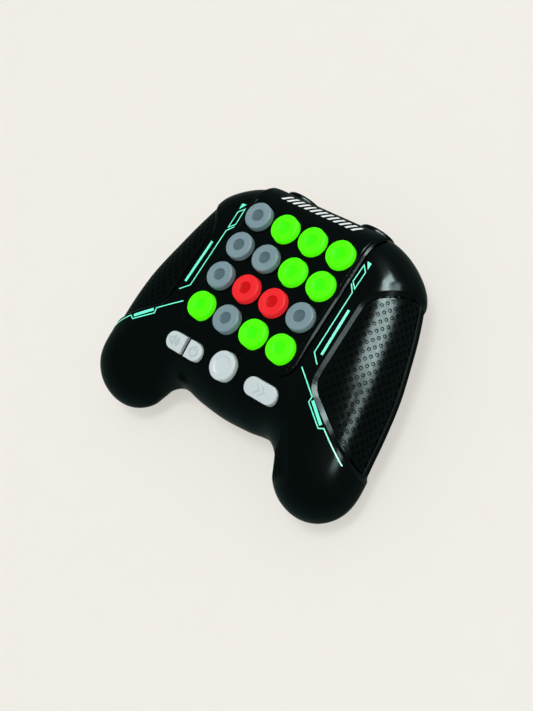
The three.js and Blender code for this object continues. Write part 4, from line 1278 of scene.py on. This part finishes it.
def flatStroke(points, width, closed):
    bm = stroke(points, width, 0, 1, closed)
    removeFaces(bm, [face for face in bm.faces if middleOf(face).z < 0.9])
    return bm


for hand in ("right", "left"):
    drawn = bmesh.new()
    outlineFace(drawn, lines["arrow"])
    for points, width, closed in lines["strokes"]:
        joined(drawn, flatStroke(points, width, closed))
    layOnBody(drawn, lines["spacing"], lines["height"])
    if hand == "left":
        mirrorX(drawn)
    addPiece(f"{hand}Lines", drawn, [mintInk], wall=lines["thickness"])

ticks = {"count": 13, "width": 1.5, "gap": 1.9, "lean": 1.1, "front": 36.3, "rear": 39.6, "spacing": 0.8}
drawn = bmesh.new()
for k in range(ticks["count"]):
    x = (k - (ticks["count"] - 1) / 2) * (ticks["width"] + ticks["gap"])
    half, lean = ticks["width"] / 2, ticks["lean"]
    outlineFace(drawn, [
        (x - half - lean, ticks["front"]), (x + half - lean, ticks["front"]),
        (x + half + lean, ticks["rear"]), (x - half + lean, ticks["rear"]),
    ])
layOnBody(drawn, ticks["spacing"], panel["rise"] + lines["height"])
addPiece("rearTicks", drawn, [whiteInk], wall=lines["thickness"])

print("battery box and door")
battery = {
    "centreY": 8,
    "halfLength": 26.15,
    "halfWidth": 16.85,
    "ledge": 2,
    "rim": 1.4,
    "doorThickness": 2.8,
    "tabHalf": 6,
    "tabLength": 8,
    "corner": 2.5,
    "boxTop": 8,
    "screwY": -14.85,
    "screwRadius": 3.1,
    "screwDepth": 2.1,
    "innerCorner": 0.8,
    "boxEdge": 0.35,
    "doorEdge": 0.4,
    "ridges": {
        "count": 4, "spacing": 2.2, "width": 0.9, "length": 14, "first": -3.5, "depth": 0.35, "round": 0.48,
    },
}


# Outline around the cells, grown evenly, with the door's tab at its front
def batteryLine(grow):
    halfX, halfY, ledge = battery["halfLength"] + grow, battery["halfWidth"] + grow, battery["ledge"]
    tab = battery["tabHalf"] + grow - ledge
    front, rear = battery["centreY"] - halfY, battery["centreY"] + halfY
    tabFront = front - battery["tabLength"]
    corners = [
        (-tab, tabFront), (tab, tabFront), (tab, front), (halfX, front), (halfX, rear), (-halfX, rear),
        (-halfX, front), (-tab, front),
    ]
    radius, inner = battery["corner"], battery["innerCorner"]
    return roundedOutline(corners, [radius, radius, inner, radius, radius, radius, radius, inner], 6)


def sharpFoot(bm):
    return [
        edge for edge in bm.edges
        if all(abs(vert.co.z) < 0.01 for vert in edge.verts) and len(edge.link_faces) == 2
        and edge.calc_face_angle(0) > 0.5
    ]


def isFoot(face):
    return middleOf(face).z < 0.01


box = bmesh.new()
loops = []
for grow in (battery["ledge"] + battery["rim"], battery["ledge"]):
    ring = [box.verts.new((x, y, 0)) for x, y in batteryLine(grow)]
    loops += [box.edges.new(pair) for pair in zip(ring, ring[1:] + ring[:1])]
bmesh.ops.bridge_loops(box, edges=loops)
raised(box, list(box.faces), battery["boxTop"])
turnOutward(box)
bevelled(box, sharpFoot(box), battery["boxEdge"], 2)
addPiece("batteryBox", box, [dullAbs])

door = prismOf(batteryLine(battery["ledge"] - clear), 0, battery["doorThickness"])
bevelled(door, sharpFoot(door), battery["doorEdge"], 3)
hollows = [(circle(0, battery["screwY"], battery["screwRadius"], 32), battery["screwDepth"])]
ridges = battery["ridges"]
halfLong, halfWide = ridges["length"] / 2, ridges["width"] / 2
for k in range(ridges["count"]):
    y = ridges["first"] + k * ridges["spacing"]
    ridge = rectangle(-halfLong, y - halfWide, halfLong, y + halfWide)
    hollows.append((roundedOutline(ridge, ridges["width"] * ridges["round"], 5), ridges["depth"]))
for line, depth in hollows:
    imprint(door, line, where=isFoot)
    faces = list(filter(isFoot, facesInside(door, line)))
    raised(door, faces, depth)
    removeFaces(door, faces)
addPiece("batteryDoor", door, [dullAbs], nodes=["battery_door"])

print("inside pieces")
nodeFinishes = {
    "light_button_mat": matSilicone,
    "control_button_mat": matSilicone,
    "main_board": boardLaminate,
    "control_board": boardLaminate,
    "left_switch_board": boardLaminate,
    "right_switch_board": boardLaminate,
    "speaker": speakerBody,
    "battery_lead_black": leadBlack,
    "battery_lead_red": leadRed,
    "speaker_lead": leadRed,
}
groupFinishes = (("screw", screwSteel), ("contact", contactSteel), ("cell", cellWrapper))
for name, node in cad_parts.items():
    finish = next((material for word, material in groupFinishes if word in name), nodeFinishes.get(name))
    if finish and node.material_slots:
        for held in node.material_slots:
            held.material = finish
    elif finish:
        node.data.materials.append(finish)

print("stage")
stage = {
    "background": "f2eee7",
    "fill": "eef2f2",
    "fillStrength": 0.66,
    "floorColours": ("efebe4", "f4f0ea"),
    "floorSize": 6,
    "paperShare": 0.6,
    "lens": 55.98,
    "sensor": 36,
    "position": (0.27795, -0.05444, 0.43861),
    "right": (0.72943624, 0.53932945, -0.42076895),
    "up": (-0.41052798, 0.83717747, 0.36138713),
    "forward": (-0.54716501, 0.09087145, -0.83207742),
}


def mathNode(tree, operation, links, inputs=None):
    return addNode(tree, "ShaderNodeMath", {"operation": operation}, inputs, links).outputs[0]


# The camera, a reflection or a clear piece sees the world and the floor as the pale background, by a share
def paleWhenSeen(tree, plain, background, share=1.0):
    path = addNode(tree, "ShaderNodeLightPath").outputs
    first = mathNode(tree, "MAXIMUM", {0: path["Is Camera Ray"], 1: path["Is Glossy Ray"]})
    seen = mathNode(tree, "MAXIMUM", {0: first, 1: path["Is Transmission Ray"]})
    part = mathNode(tree, "MULTIPLY", {0: seen}, {1: share})
    return addNode(tree, "ShaderNodeMixShader", links={0: part, 1: plain, 2: background}).outputs["Shader"]


world = bpy.data.worlds.new("studio")
world.use_nodes = True
tree = world.node_tree
tree.nodes.clear()
fill = addNode(
    tree, "ShaderNodeBackground", inputs={"Color": colour(stage["fill"]), "Strength": stage["fillStrength"]}
)
seen = addNode(tree, "ShaderNodeBackground", inputs={"Color": colour(stage["background"]), "Strength": 1.0})
surface = paleWhenSeen(tree, fill.outputs["Background"], seen.outputs["Background"])
addNode(tree, "ShaderNodeOutputWorld", links={"Surface": surface})
scene.world = world

# A wide sheet of matt paper under the object, a little uneven in colour
floorMaterial, tree, place = newMaterial("paleFloor")
shade = patched(tree, place, stage["floorColours"], 60.0, 4.0)[1]
plain = addNode(
    tree, "ShaderNodeBsdfPrincipled", inputs={"Roughness": 0.9, "Specular IOR Level": 0.1},
    links={"Base Color": shade},
)
paper = addNode(tree, "ShaderNodeEmission", inputs={"Color": colour(stage["background"])})
endMaterial(tree, paleWhenSeen(tree, plain.outputs["BSDF"], paper.outputs["Emission"], stage["paperShare"]))
bm = bmesh.new()
bmesh.ops.create_grid(bm, x_segments=2, y_segments=2, size=stage["floorSize"] / 2)
mesh = bpy.data.meshes.new("floor")
bm.to_mesh(mesh)
bm.free()
mesh.materials.append(floorMaterial)
floor = bpy.data.objects.new("floor", mesh)
scene.collection.objects.link(floor)

# Soft boxes: azimuth from the front towards the player's right, height angle, turn about the way to
# the object, size and power. The top box lights the matt colours, and the others only show as reflections
lamps = {
    "topBox": (125, 80, 0, (0.7, 0.7), 25),
    "lowStrip": (114, 31.5, 0, (2.3, 0.7), 300),
    "highStrip": (129.4, 47.9, -24, (0.56, 1.3), 275),
    "shoulderBox": (160, 51, 0, (0.8, 1.5), 600),
    "edgeBox": (103, 53, 0, (0.4, 0.4), 24),
}
lampDistance, rosy = 2.5, (1.0, 0.82, 0.83)
for name, (azimuth, height, roll, size, power) in lamps.items():
    lamp = bpy.data.lights.new(name, "AREA")
    lamp.shape = "RECTANGLE"
    lamp.size, lamp.size_y = size
    lamp.energy = power
    lamp.color = (1, 1, 1) if name == "topBox" else rosy
    holder = bpy.data.objects.new(name, lamp)
    turn, lift = math.radians(azimuth), math.radians(height)
    way = Vector((math.sin(turn) * math.cos(lift), -math.cos(turn) * math.cos(lift), math.sin(lift)))
    facing = way.to_track_quat("Z", "Y").to_matrix().to_4x4() @ Matrix.Rotation(math.radians(roll), 4, "Z")
    holder.matrix_world = Matrix.Translation(way * lampDistance) @ facing
    holder.visible_diffuse = name == "topBox"
    holder.visible_glossy = name != "topBox"
    scene.collection.objects.link(holder)

camera = bpy.data.cameras.new("camera")
camera.lens = stage["lens"]
camera.sensor_width = stage["sensor"]
holder = bpy.data.objects.new("camera", camera)
rows = Matrix((stage["right"], stage["up"], [-value for value in stage["forward"]])).transposed()
holder.matrix_world = Matrix.Translation(stage["position"]) @ rows.to_4x4()
scene.collection.objects.link(holder)
scene.camera = holder
scene.view_settings.view_transform = "Standard"
